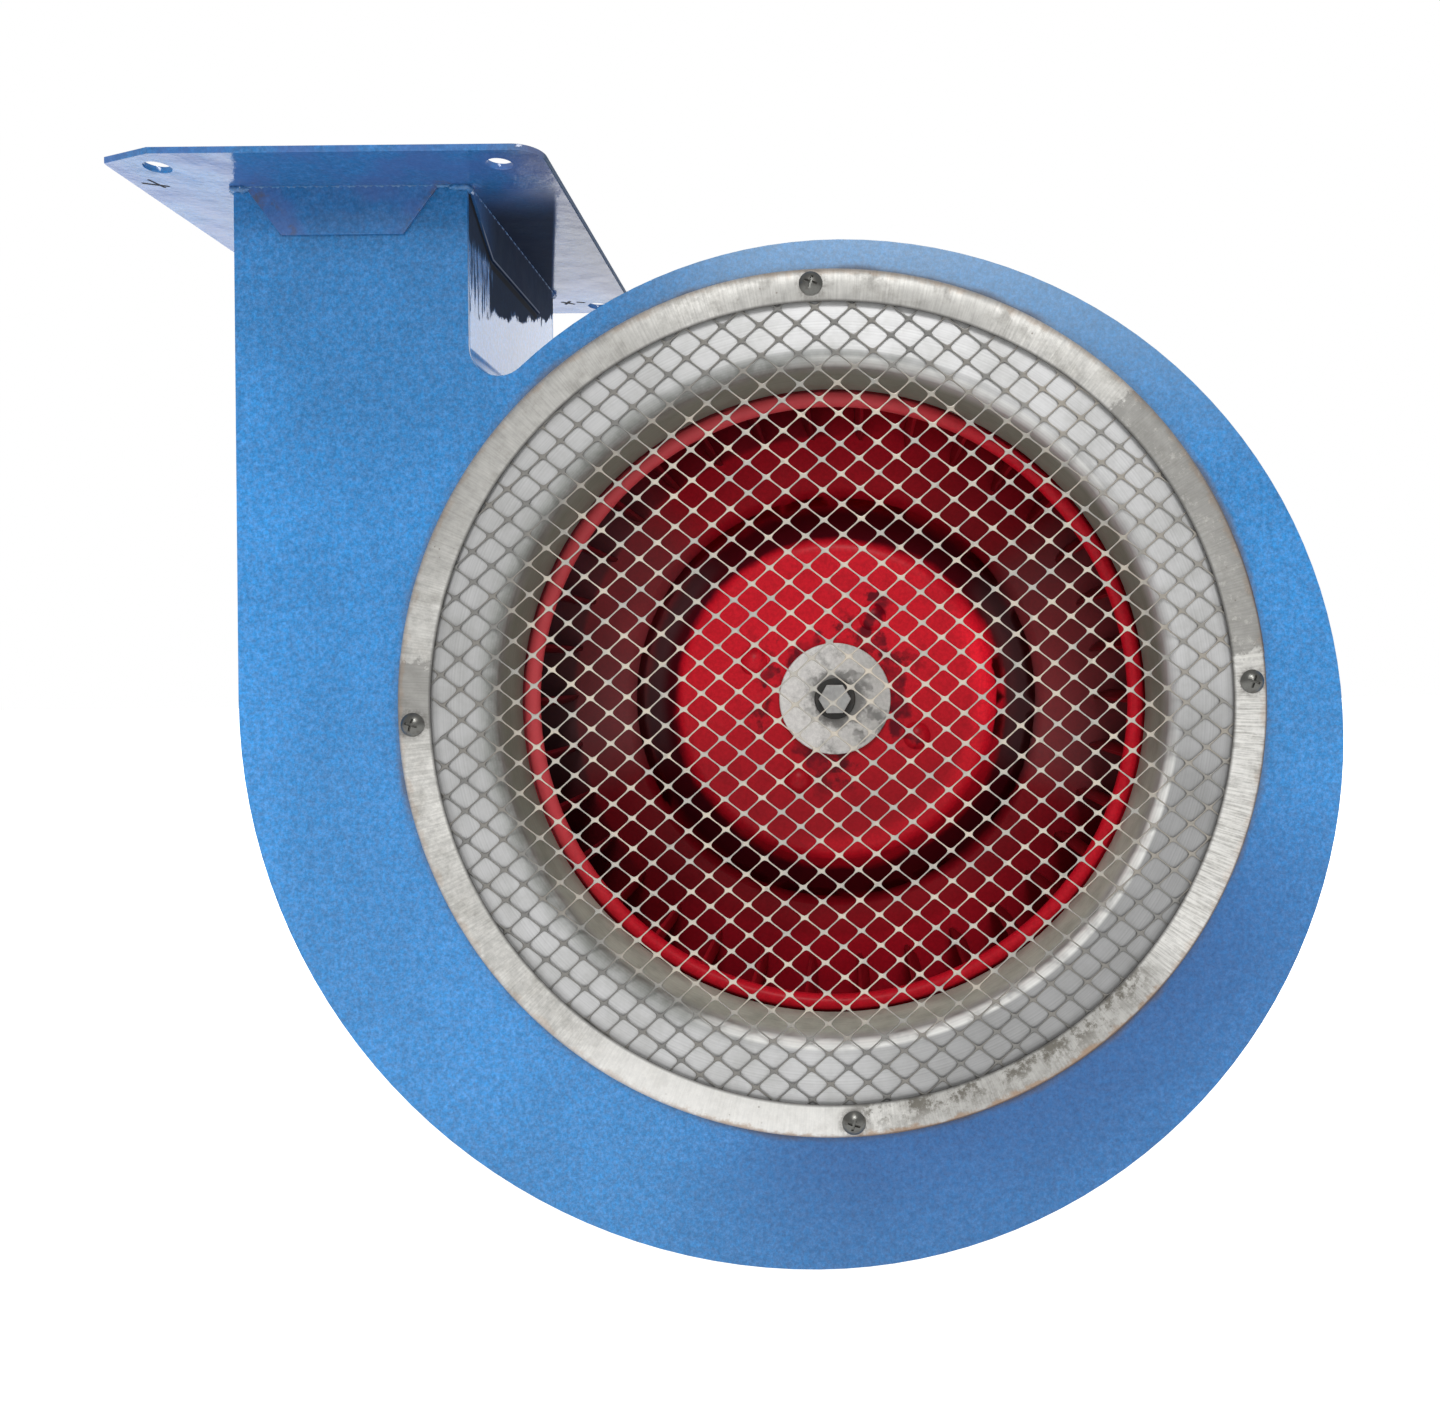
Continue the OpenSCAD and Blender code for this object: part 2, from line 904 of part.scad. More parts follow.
module rear_shield_profile() {
    seat_end = rear_bearing_z + rear_bearing_w + 2;
    band(62, housing_bore_r - 0.1, housing_back - 6, housing_back);
    band(rear_bearing_r + eps, fin_r - 0.6, housing_back, seat_end);
    band(rear_bearing_r + eps, 31, rear_bearing_z - 2, housing_back);
    band(12, 40, seat_end, rear_shield_back);
}

module motor_rear_shield() {
    color(motor_grey)
        fan_frame()
            difference() {
                rotate_extrude()
                    rear_shield_profile();
                around(4, tie_circle_r)
                    disc(tie_r + 0.1, housing_back - 1, rear_shield_back + 1);
                around(4, 0, 45)
                    translate([74, 0, cowl_front + 3])
                        rotate([0, 90, 0])
                            cylinder(r = 2.05, h = 12);
            }
}

module housing_section() {
    difference() {
        union() {
            circle(housing_r);
            around(fin_count, 0, 180 / fin_count)
                translate([housing_r - 2, -1.25])
                    square([fin_r - housing_r + 2, 2.5]);
        }
        circle(housing_bore_r);
    }
}

module motor_housing() {
    color(motor_grey)
        fan_frame()
            difference() {
                union() {
                    translate([0, 0, housing_front])
                        linear_extrude(housing_length)
                            housing_section();
                    translate([-box_half + 4, -box_floor, box_mid - box_half + 4])
                        cube([2 * box_half - 8, 40, 2 * box_half - 8]);
                }
                disc(housing_bore_r, housing_front - 1, housing_back + 1);
                translate([0, 0, box_mid])
                    rotate([90, 0, 0])
                        cylinder(r = 14, h = 100);
                around(4, tie_circle_r)
                    disc(tie_r + 0.4, housing_front - 1, housing_back + 1);
                around(4, motor_bolt_circle_r, 45)
                    disc(bolt_pocket_r, housing_front - 1, bolt_pocket_end);
            }
}

module tie_bolts() {
    seat = rear_bearing_z + rear_bearing_w + 2;
    color(dark_steel)
        fan_frame()
            around(4, tie_circle_r) {
                disc(tie_r, motor_face + 7, seat);
                hex_prism(7, seat, seat + 3.5);
            }
}

// Sheet cup over the cooling fan, its end cut with rings of arc slots
module fan_cowl() {
    skin = 1.5;
    color(motor_grey)
        fan_frame()
            difference() {
                union() {
                    ring(cowl_r, cowl_r - skin, cowl_front, cowl_back);
                    disc(cowl_r, cowl_back - skin, cowl_back);
                }
                for (r = [16 : 10 : 66])
                    difference() {
                        ring(r + 5.5, r, cowl_back - skin - 1, cowl_back + 1);
                        for (turn = [0, 60, 120])
                            rotate([0, 0, turn])
                                translate([-wide / 2, -2, cowl_back - skin - 2])
                                    cube([wide, 4, skin + 4]);
                    }
                around(4, 0, 45)
                    translate([74, 0, cowl_front + 3])
                        rotate([0, 90, 0])
                            cylinder(r = 2.2, h = 20);
            }
}

module cowl_screws() {
    color(bright_steel)
        fan_frame()
            around(4, 0, 45)
                translate([cowl_r, 0, cowl_front + 3])
                    rotate([0, 90, 0]) {
                        rotate_extrude()
                            pan_head_profile(4, 2);
                        translate([0, 0, -9])
                            cylinder(r = 2, h = 9);
                    }
}

module motor_bolts() {
    seat = flange_back + 2;
    color(bright_steel)
        fan_frame()
            around(4, motor_bolt_circle_r, 45) {
                disc(motor_bolt_r, casing_depth - sheet - motor_nut_h - 2, seat);
                hex_prism(motor_bolt_af, seat, seat + motor_bolt_head_h);
            }
}

module motor_nuts() {
    inner_face = casing_depth - sheet;
    color(bright_steel)
        fan_frame()
            around(4, motor_bolt_circle_r, 45)
                difference() {
                    hex_prism(motor_bolt_af, inner_face - motor_nut_h, inner_face);
                    disc(motor_bolt_r + 0.05, inner_face - motor_nut_h - 1, inner_face + 1);
                }
}

// Split ring under each bolt head
module motor_spring_washers() {
    color(dark_steel)
        fan_frame()
            around(4, motor_bolt_circle_r, 45)
                difference() {
                    ring(9, motor_bolt_r + 0.2, flange_back, flange_back + 2);
                    translate([0, -0.5, flange_back - 1])
                        cube([12, 1, 4]);
                }
}

// ---------------------------------------------------------------- terminal box

// Box frame: x right, y along the motor, z up from the fan axis
module box_frame() {
    translate([axis_x, -casing_depth / 2 + box_mid, -axis_drop])
        children();
}

module box_plate(half, z0, z1, corner = 6) {
    translate([0, 0, z0])
        linear_extrude(z1 - z0) {
            square([2 * half, 2 * (half - corner)], center = true);
            square([2 * (half - corner), 2 * half], center = true);
            for (sx = [-1, 1], sy = [-1, 1])
                translate([sx * (half - corner), sy * (half - corner)])
                    circle(corner);
        }
}

module at_posts() {
    place = box_half - post_inset;
    for (sx = [-1, 1], sy = [-1, 1])
        translate([sx * place, sy * place, 0])
            children();
}

module terminal_box() {
    color(motor_grey)
        box_frame()
            difference() {
                union() {
                    difference() {
                        box_plate(box_half, box_floor, box_top);
                        box_plate(box_half - box_wall, box_floor + box_wall, box_top + 1, 4);
                    }
                    at_posts()
                        disc(post_r, box_floor, box_top);
                }
                at_posts()
                    disc(lid_screw_r + 0.05, box_floor + 8, box_top + 1);
                disc(14, box_floor - 1, box_floor + box_wall + 1);
                translate([box_half - 10, 0, gland_height])
                    rotate([0, 90, 0])
                        cylinder(r = gland_thread_r + 0.1, h = 20);
            }
}

module terminal_box_gasket() {
    color(black)
        box_frame()
            difference() {
                box_plate(box_half, box_top, lid_floor);
                difference() {
                    box_plate(box_half - box_wall, box_top - 1, lid_floor + 1, 4);
                    at_posts()
                        disc(post_r, box_top - 2, lid_floor + 2);
                }
                at_posts()
                    disc(lid_screw_r + 0.3, box_top - 1, lid_floor + 1);
            }
}

module terminal_box_lid() {
    color(motor_grey)
        box_frame()
            difference() {
                union() {
                    box_plate(box_half, lid_floor, lid_floor + 3);
                    box_plate(box_half - 4, lid_floor + 3, lid_floor + lid_t, 5);
                }
                at_posts()
                    disc(lid_screw_r + 0.3, lid_floor - 1, lid_floor + lid_t + 1);
                at_posts()
                    disc(4.5, lid_floor + 3, lid_floor + lid_t + 1);
            }
}

module lid_screws() {
    seat = lid_floor + 3;
    color(bright_steel)
        box_frame()
            at_posts() {
                disc(lid_screw_r, box_top - 14, seat);
                translate([0, 0, seat])
                    rotate_extrude()
                        pan_head_profile(3.8, 2.4);
            }
}

module at_studs() {
    for (column = [-1 : 1], row = [-1, 1])
        translate([column * 16, row * 7, 0])
            children();
}

module terminal_block() {
    floor_z = box_floor + box_wall;
    color(black)
        box_frame()
            translate([0, -26, 0])
                difference() {
                    translate([-27, -13, floor_z])
                        cube([54, 26, 9]);
                    at_studs()
                        disc(2.05, floor_z + 2, floor_z + 10);
                }
}

module terminal_studs() {
    floor_z = box_floor + box_wall;
    color(brass)
        box_frame()
            translate([0, -26, 0])
                at_studs() {
                    disc(2, floor_z + 2, floor_z + 20);
                    difference() {
                        hex_prism(7, floor_z + 9, floor_z + 12.2);
                        disc(1, floor_z + 12.1, floor_z + 12.3);
                    }
                }
}

// Gland frame: z points out of the box's right wall
module gland_frame() {
    box_frame()
        translate([box_half, 0, gland_height])
            rotate([0, 90, 0])
                children();
}

module cable_gland() {
    color(bright_steel)
        gland_frame()
            difference() {
                union() {
                    disc(gland_thread_r, -9, 0);
                    hex_prism(gland_hex_af, 0, gland_hex_h);
                    disc(gland_thread_r, gland_hex_h, gland_hex_h + gland_body_l);
                }
                disc(gland_bore_r, -10, gland_hex_h + 2.01);
                disc(8, gland_hex_h + 2, gland_hex_h + gland_body_l + 1);
            }
}

module gland_seal() {
    color(black)
        gland_frame()
            ring(7.9, gland_bore_r, gland_hex_h + 2, gland_hex_h + gland_body_l);
}

module gland_nut() {
    z0 = gland_hex_h + 1;
    z1 = gland_hex_h + gland_body_l + 5;
    color(bright_steel)
        gland_frame()
            difference() {
                union() {
                    hex_prism(gland_hex_af, z0, z1 - 4);
                    disc(11, z1 - 4, z1);
                }
                disc(gland_thread_r + 0.05, z0 - 1, gland_hex_h + gland_body_l);
                disc(gland_bore_r, z0, z1 + 1);
            }
}

module gland_locknut() {
    color(bright_steel)
        gland_frame()
            difference() {
                hex_prism(24, -box_wall - 4, -box_wall);
                disc(gland_thread_r + 0.05, -box_wall - 5, -box_wall + 1);
            }
}

// ---------------------------------------------------------------- nodes

front_plate();
back_plate();
scroll_wrap();
outlet_flange();
inlet_cone();
guard_mesh();
guard_ring();
guard_screws();
guard_nuts();
impeller_front_ring();
impeller_blades();
impeller_back_disc();
impeller_hub();
hub_rivets();
hub_washer();
hub_flat_washer();
hub_bolt();
shaft_key();
motor_shaft();
rotor_core();
rotor_end_rings();
cooling_fan();
bearing_inner(front_bearing);  // front_bearing_inner
bearing_outer(front_bearing);  // front_bearing_outer
bearing_balls(front_bearing);  // front_bearing_balls
bearing_cage(front_bearing);  // front_bearing_cage
bearing_inner(rear_bearing);  // rear_bearing_inner
bearing_outer(rear_bearing);  // rear_bearing_outer
bearing_balls(rear_bearing);  // rear_bearing_balls
bearing_cage(rear_bearing);  // rear_bearing_cage
bearing_wave_washer();
shaft_seal();
stator_core();
stator_windings();
motor_front_shield();
motor_rear_shield();
motor_housing();
tie_bolts();
fan_cowl();
cowl_screws();
motor_bolts();
motor_nuts();
motor_spring_washers();
terminal_box();
terminal_box_gasket();
terminal_box_lid();
lid_screws();
terminal_block();
terminal_studs();
cable_gland();
gland_seal();
gland_nut();
gland_locknut();
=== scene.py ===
"""Looks of the centrifugal blower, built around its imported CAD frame."""
import json
import math

import bmesh
import bpy
from mathutils import Matrix, Vector


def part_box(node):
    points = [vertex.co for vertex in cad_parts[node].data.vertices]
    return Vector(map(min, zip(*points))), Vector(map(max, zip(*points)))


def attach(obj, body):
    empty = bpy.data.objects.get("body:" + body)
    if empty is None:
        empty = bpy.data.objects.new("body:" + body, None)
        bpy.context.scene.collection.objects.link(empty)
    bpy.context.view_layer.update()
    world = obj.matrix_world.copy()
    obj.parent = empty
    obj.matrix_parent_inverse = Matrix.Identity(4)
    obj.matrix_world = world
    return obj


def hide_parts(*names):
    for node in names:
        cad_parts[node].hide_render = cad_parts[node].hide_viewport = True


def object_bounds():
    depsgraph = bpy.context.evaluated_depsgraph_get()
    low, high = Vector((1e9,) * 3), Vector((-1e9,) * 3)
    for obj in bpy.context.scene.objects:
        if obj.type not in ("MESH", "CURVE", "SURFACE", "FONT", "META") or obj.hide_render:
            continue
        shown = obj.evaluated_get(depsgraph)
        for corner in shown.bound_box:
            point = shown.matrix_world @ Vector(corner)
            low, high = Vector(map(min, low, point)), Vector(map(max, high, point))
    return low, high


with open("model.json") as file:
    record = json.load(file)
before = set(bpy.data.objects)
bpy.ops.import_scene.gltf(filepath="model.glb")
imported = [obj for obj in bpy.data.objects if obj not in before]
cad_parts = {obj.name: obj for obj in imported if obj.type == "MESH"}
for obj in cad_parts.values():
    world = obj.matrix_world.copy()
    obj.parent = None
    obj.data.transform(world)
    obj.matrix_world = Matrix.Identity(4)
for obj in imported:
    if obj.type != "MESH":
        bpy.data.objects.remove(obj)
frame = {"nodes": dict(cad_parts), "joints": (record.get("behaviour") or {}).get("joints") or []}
cad_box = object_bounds()
NODES = frame["nodes"]
MM = 0.001

# Read from the frame: the fan axis, the casing's front face, the flange's far corner, the ring's radius
SPIN = next(joint for joint in frame["joints"] if joint["name"] == "rotor_spin")
AXIS = Vector(SPIN["pos_m"])
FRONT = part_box("front_plate")[0].y
FLANGE_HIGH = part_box("outlet_flange")[1]
RING_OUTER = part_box("guard_ring")[1].x - AXIS.x
# Half sizes of the outlet duct, whose middle is the frame's origin
DUCT_X, DUCT_Y = 47.0 * MM, 67.0 * MM
# The guard's screws: their circle, and how far they are turned from level, in degrees
SCREW_CIRCLE = 167.5 * MM
SCREW_TURN = -2.4
# Camera: its place right, back and up from the fan axis on the front face in metres, and its roll in degrees
CAMERA_RIGHT, CAMERA_BACK, CAMERA_UP = 0.0072, 0.4625, 0.0122
CAMERA_LENS_MM = 28.75
CAMERA_SHIFT_X, CAMERA_SHIFT_Y = -0.0904, -0.0251
CAMERA_ROLL = 0.56
# Strength of the even light from all round, and of the glow behind the object in its reflections
SOFT_LIGHT = 0.54
GLOW_LIGHT = 2.35
# Floor: how far under the blower it lies, and half its width, in metres
FLOOR_DROP = 0.30
FLOOR_HALF = 20.0


def fan(x, down, depth):
    """A point given from the fan axis: right, down, and in from the casing's front face, in mm."""
    return Vector((AXIS.x + x * MM, FRONT + depth * MM, AXIS.z - down * MM))


# ------------------------------------------------------------------ camera, light and floor

def make_camera():
    """Camera close in front of the inlet, level and rolled by half a degree."""
    data = bpy.data.cameras.new("camera")
    data.lens = CAMERA_LENS_MM
    data.sensor_width = 36.0
    data.shift_x = CAMERA_SHIFT_X
    data.shift_y = CAMERA_SHIFT_Y
    camera = bpy.data.objects.new("camera", data)
    camera.location = (AXIS.x + CAMERA_RIGHT, FRONT - CAMERA_BACK, AXIS.z + CAMERA_UP)
    camera.rotation_euler = (math.radians(90), math.radians(CAMERA_ROLL), 0)
    bpy.context.scene.collection.objects.link(camera)
    bpy.context.scene.camera = camera


def make_world():
    """White backdrop, even soft light, and a brighter glow behind the object in its reflections."""
    world = bpy.data.worlds.new("studio")
    world.use_nodes = True
    tree = world.node_tree
    background = tree.nodes["Background"]
    where = tree.nodes.new("ShaderNodeTexCoord")
    parts = tree.nodes.new("ShaderNodeSeparateXYZ")
    glow = tree.nodes.new("ShaderNodeMapRange")
    glow.interpolation_type = "SMOOTHSTEP"
    limits = (("From Min", 0.70), ("From Max", 0.87), ("To Min", SOFT_LIGHT), ("To Max", GLOW_LIGHT))
    for socket, value in limits:
        glow.inputs[socket].default_value = value
    path = tree.nodes.new("ShaderNodeLightPath")
    tree.links.new(where.outputs["Generated"], parts.inputs[0])
    tree.links.new(parts.outputs["Y"], glow.inputs["Value"])
    strength = 1.0
    for ray, level in (("Is Diffuse Ray", SOFT_LIGHT), ("Is Glossy Ray", glow.outputs["Result"])):
        choose = tree.nodes.new("ShaderNodeMix")
        tree.links.new(path.outputs[ray], choose.inputs["Factor"])
        for socket, value in (("A", strength), ("B", level)):
            if isinstance(value, float):
                choose.inputs[socket].default_value = value
            else:
                tree.links.new(value, choose.inputs[socket])
        strength = choose.outputs["Result"]
    tree.links.new(strength, background.inputs["Strength"])
    background.inputs["Color"].default_value = (1.0, 1.0, 1.0, 1.0)
    bpy.context.scene.world = world
    bpy.context.scene.view_settings.view_transform = "Standard"


def area_light(name, place, target, size, power):
    """Round lamp at a place, turned towards its target: size in metres, power in watts."""
    data = bpy.data.lights.new(name, "AREA")
    data.shape = "DISK"
    data.size = size
    data.energy = power
    light = bpy.data.objects.new(name, data)
    light.location = place
    light.rotation_euler = (Vector(target) - Vector(place)).to_track_quat("-Z", "Y").to_euler()
    bpy.context.scene.collection.objects.link(light)


def make_floor():
    """Pale floor under the blower, glowing more towards the back like the backdrop."""
    level = cad_box[0].z - FLOOR_DROP
    mesh = bpy.data.meshes.new("floor")
    corners = [(x * FLOOR_HALF, y * FLOOR_HALF, level) for x, y in ((-1, -1), (1, -1), (1, 1), (-1, 1))]
    mesh.from_pydata(corners, [], [(0, 1, 2, 3)])
    floor = bpy.data.objects.new("floor", mesh)
    bpy.context.scene.collection.objects.link(floor)
    look = Look("floor_white", Roughness=0.9)
    look.set("Base Color", (0.6, 0.6, 0.6))
    look.set("Emission Strength", look.span(look.parts()[1], 0.7, 1.8, 0.70, 1.75))
    look.set("Emission Color", (1.0, 1.0, 1.0))
    mesh.materials.append(look.material)


# ------------------------------------------------------------------ material tools

class Look:
    """One procedural material. Its methods add nodes and give back their output sockets."""

    def __init__(self, name, **values):
        self.material = bpy.data.materials.new(name)
        self.material.use_nodes = True
        self.tree = self.material.node_tree
        self.shader = self.tree.nodes["Principled BSDF"]
        for socket, value in values.items():
            self.shader.inputs[socket.replace("_", " ")].default_value = value
        self.place = self.node("ShaderNodeTexCoord").outputs["Object"]

    def node(self, kind, **settings):
        made = self.tree.nodes.new(kind)
        for name, value in settings.items():
            setattr(made, name, value)
        return made

    def feed(self, socket, value):
        """Links value into socket, or sets it there if it is a plain number, point or colour."""
        if isinstance(value, bpy.types.NodeSocket):
            self.tree.links.new(value, socket)
        elif hasattr(value, "__len__") and len(value) == 3 and socket.type == "RGBA":
            socket.default_value = (*value, 1.0)
        else:
            socket.default_value = value

    def set(self, name, value):
        """Feeds one input of the surface shader."""
        self.feed(self.shader.inputs[name], value)

    def maths(self, operation, a, b=0.0, clamp=False):
        made = self.node("ShaderNodeMath", operation=operation, use_clamp=clamp)
        self.feed(made.inputs[0], a)
        self.feed(made.inputs[1], b)
        return made.outputs[0]

    def times(self, a, b):
        return self.maths("MULTIPLY", a, b)

    def most(self, a, b):
        """The larger of two numbers."""
        return self.maths("MAXIMUM", a, b)

    def vector(self, operation, a, b=(0.0, 0.0, 0.0)):
        made = self.node("ShaderNodeVectorMath", operation=operation)
        self.feed(made.inputs[0], a)
        self.feed(made.inputs[1], b)
        return made.outputs["Value"] if operation in ("LENGTH", "DOT_PRODUCT") else made.outputs[0]

    def parts(self, vector=None):
        """x, y and z of a vector, or of the place on the object."""
        made = self.node("ShaderNodeSeparateXYZ")
        self.feed(made.inputs[0], vector or self.place)
        return made.outputs[0], made.outputs[1], made.outputs[2]

    def join(self, x, y, z):
        made = self.node("ShaderNodeCombineXYZ")
        for socket, value in zip(made.inputs, (x, y, z)):
            self.feed(socket, value)
        return made.outputs[0]

    def noise(self, scale, detail=3.0, roughness=0.5, where=None):
        made = self.node("ShaderNodeTexNoise")
        self.feed(made.inputs["Vector"], where or self.place)
        for socket, value in (("Scale", scale), ("Detail", detail), ("Roughness", roughness)):
            made.inputs[socket].default_value = value
        return made.outputs["Factor"] if "Factor" in made.outputs else made.outputs["Fac"]

    def cells(self, scale):
        """Distance to the nearest of scattered points."""
        made = self.node("ShaderNodeTexVoronoi", feature="F1")
        self.feed(made.inputs["Vector"], self.place)
        made.inputs["Scale"].default_value = scale
        return made.outputs["Distance"]

    def span(self, value, low, high, to_low=0.0, to_high=1.0):
        """value taken smoothly from low..high to to_low..to_high."""
        made = self.node("ShaderNodeMapRange", interpolation_type="SMOOTHSTEP")
        for socket, number in zip(made.inputs, (value, low, high, to_low, to_high)):
            self.feed(socket, number)
        return made.outputs["Result"]

    def mix(self, factor, a, b, blend="MIX"):
        made = self.node("ShaderNodeMix", data_type="RGBA", blend_type=blend)
        self.feed(made.inputs[0], factor)
        self.feed(made.inputs[6], a)
        self.feed(made.inputs[7], b)
        return made.outputs[2]

    def shade(self, colour, factor):
        """colour times a grey factor."""
        return self.mix(1.0, colour, self.join(factor, factor, factor), blend="MULTIPLY")

    def polar(self):
        """Radius from the fan axis in metres, and angle in radians, 0 at the right and growing upward."""
        x, _, z = self.parts(self.vector("SUBTRACT", self.place, tuple(AXIS)))
        radius = self.vector("LENGTH", self.join(x, z, 0.0))
        return radius, self.maths("ARCTAN2", z, x)

    def near_angle(self, angle, centre, half, soft=None):
        """1 within half degrees of the centre angle, falling smoothly to 0 over soft degrees more."""
        turned = self.maths("COSINE", self.maths("SUBTRACT", angle, math.radians(centre)))
        outside = half + (half if soft is None else soft)
        return self.span(turned, math.cos(math.radians(outside)), math.cos(math.radians(half)))

    def stroke(self, start, end, half, where=None):
        """1 on a line from start to end in the object's space, falling to 0 at 1.5 half widths, in mm."""
        a, b = Vector(start) * MM, Vector(end) * MM
        away = self.vector("SUBTRACT", where or self.place, tuple(a))
        share = self.vector("DOT_PRODUCT", away, tuple((b - a) / (b - a).length_squared))
        share = self.maths("ADD", share, 0.0, clamp=True)
        foot = self.vector("MULTIPLY", tuple(b - a), self.join(share, share, share))
        far = self.vector("LENGTH", self.vector("SUBTRACT", away, foot))
        return self.span(far, 0.6 * half * MM, 1.5 * half * MM, 1.0, 0.0)

    def flat(self):
        """The place on the object as seen from the front, without its depth."""
        return self.vector("MULTIPLY", self.place, (1.0, 0.0, 1.0))

    def smears(self, strokes, scale, amount):
        """Ragged strokes seen from the front: start, end (right, up from the axis) and half width, in mm."""
        sway = [self.span(self.noise(grain, 3.0, 0.6), 0.3, 0.7, -0.0028, 0.0028) for grain in (95.0, 115.0)]
        flat = self.vector("ADD", self.flat(), self.join(sway[0], 0.0, sway[1]))
        ragged = self.span(self.noise(scale, 4.0, 0.6), 0.32, 0.58, 0.30 * amount, amount)
        cover = 0.0
        for start, end, half in strokes:
            ends = [(AXIS.x / MM + right, 0.0, AXIS.z / MM + up) for right, up in (start, end)]
            cover = self.most(self.stroke(ends[0], ends[1], half, flat), cover)
        return self.times(cover, ragged)

    def light(self, colour, angle, place, radius, reach, factor):
        """Painted light where factor is above 1 and painted shade where it is below: colour times factor near
        an angle (centre, half, soft) and past a radius (from, to).
        """
        cover = self.times(self.near_angle(angle, *place), self.span(radius, *reach))
        return self.shade(colour, self.span(cover, 0.0, 1.0, 1.0, factor))

    def bump(self, height, distance, strength=1.0):
        """Adds a bump of that height in metres on top of what the normal already has."""
        made = self.node("ShaderNodeBump")
        made.inputs["Strength"].default_value = strength
        made.inputs["Distance"].default_value = distance
        self.feed(made.inputs["Height"], height)
        normal = self.shader.inputs["Normal"]
        if normal.is_linked:
            self.tree.links.new(normal.links[0].from_socket, made.inputs["Normal"])
        self.tree.links.new(made.outputs[0], normal)


# ------------------------------------------------------------------ materials

def enamel(name, roughness=0.30, coat=0.15, specular=0.4):
    """Sprayed blue enamel: mottled, glossy, with a fine orange peel. Gives the look and its colour."""
    look = Look(name, Roughness=roughness, Coat_Weight=coat, Coat_Roughness=0.10, Specular_IOR_Level=specular)
    grain = look.span(look.noise(760.0, 3.0, 0.8), 0.30, 0.70, 0.76, 1.24)
    spots = look.span(look.noise(300.0, 4.0, 0.7), 0.32, 0.68, 0.86, 1.12)
    cloud = look.span(look.noise(24.0, 4.0, 0.6), 0.30, 0.70, 0.92, 1.07)
    tint = look.span(look.noise(420.0, 3.0, 0.7), 0.38, 0.62)
    body = look.mix(tint, (0.024, 0.212, 0.525), (0.056, 0.232, 0.535))
    tone = look.times(look.times(grain, cloud), spots)
    return look, look.shade(body, tone)


def orange_peel(look):
    """Fine and broad waves of sprayed paint."""
    look.bump(look.noise(420.0, 2.0), 0.00010, 0.5)
    look.bump(look.noise(38.0, 2.0), 0.00040, 0.30)


def blue_paint():
    """Enamel of the back plate and the wrap, with painted shade and a dark painted reflection on the duct's
    right side under the flange, and a painted shadow under the side tab's edge.
    """
    look, colour = enamel("blue_paint", 0.16, 0.0, 0.5)
    x, y, z = look.parts()
    runs = look.noise(1.0, 3.0, 0.6, look.join(0.0, look.times(y, 420.0), look.times(z, 45.0)))
    ragged = look.span(runs, 0.30, 0.70, -0.004, 0.004)
    inner = look.span(look.maths("ADD", y, ragged), -0.041, -0.037)
    upper = look.span(look.maths("ADD", z, ragged), -0.028, -0.022)
    streaks = look.span(runs, 0.50, 0.56, 0.0, 0.75)
    cover = look.most(look.most(inner, upper), streaks)
    low = look.maths("ADD", look.times(y, -0.29), z)
    sag = look.span(look.noise(60.0, 3.0, 0.6), 0.3, 0.7, -0.0030, 0.0030)
    under = look.span(look.maths("ADD", look.maths("ADD", low, sag), look.times(ragged, 0.3)),
                      -0.0362, -0.0342)
    side = look.times(look.span(x, DUCT_X - 0.0015, DUCT_X - 0.0005),
                      look.span(x, DUCT_X + 0.0130, DUCT_X + 0.0230, 1.0, 0.0))
    # Painted shade and a dark painted reflection on the duct's right wall under the flange.
    painted_shade = look.times(side, look.times(cover, under))
    colour = look.mix(look.times(painted_shade, 0.94), colour, (0.006, 0.010, 0.022))
    # Painted shadow under the side tab's lower edge.
    tab_shadow = look.most(look.stroke((47, 34, -24.0), (47, -36, -24.0), 1.3),
                    look.stroke((47, -36, -24.0), (47, -65, -5.0), 1.1))
    look.set("Base Color", look.mix(tab_shadow, colour, (0.004, 0.004, 0.006)))
    look.set("Roughness", look.span(look.most(painted_shade, tab_shadow), 0.0, 1.0, 0.15, 0.95))
    orange_peel(look)
    return look.material


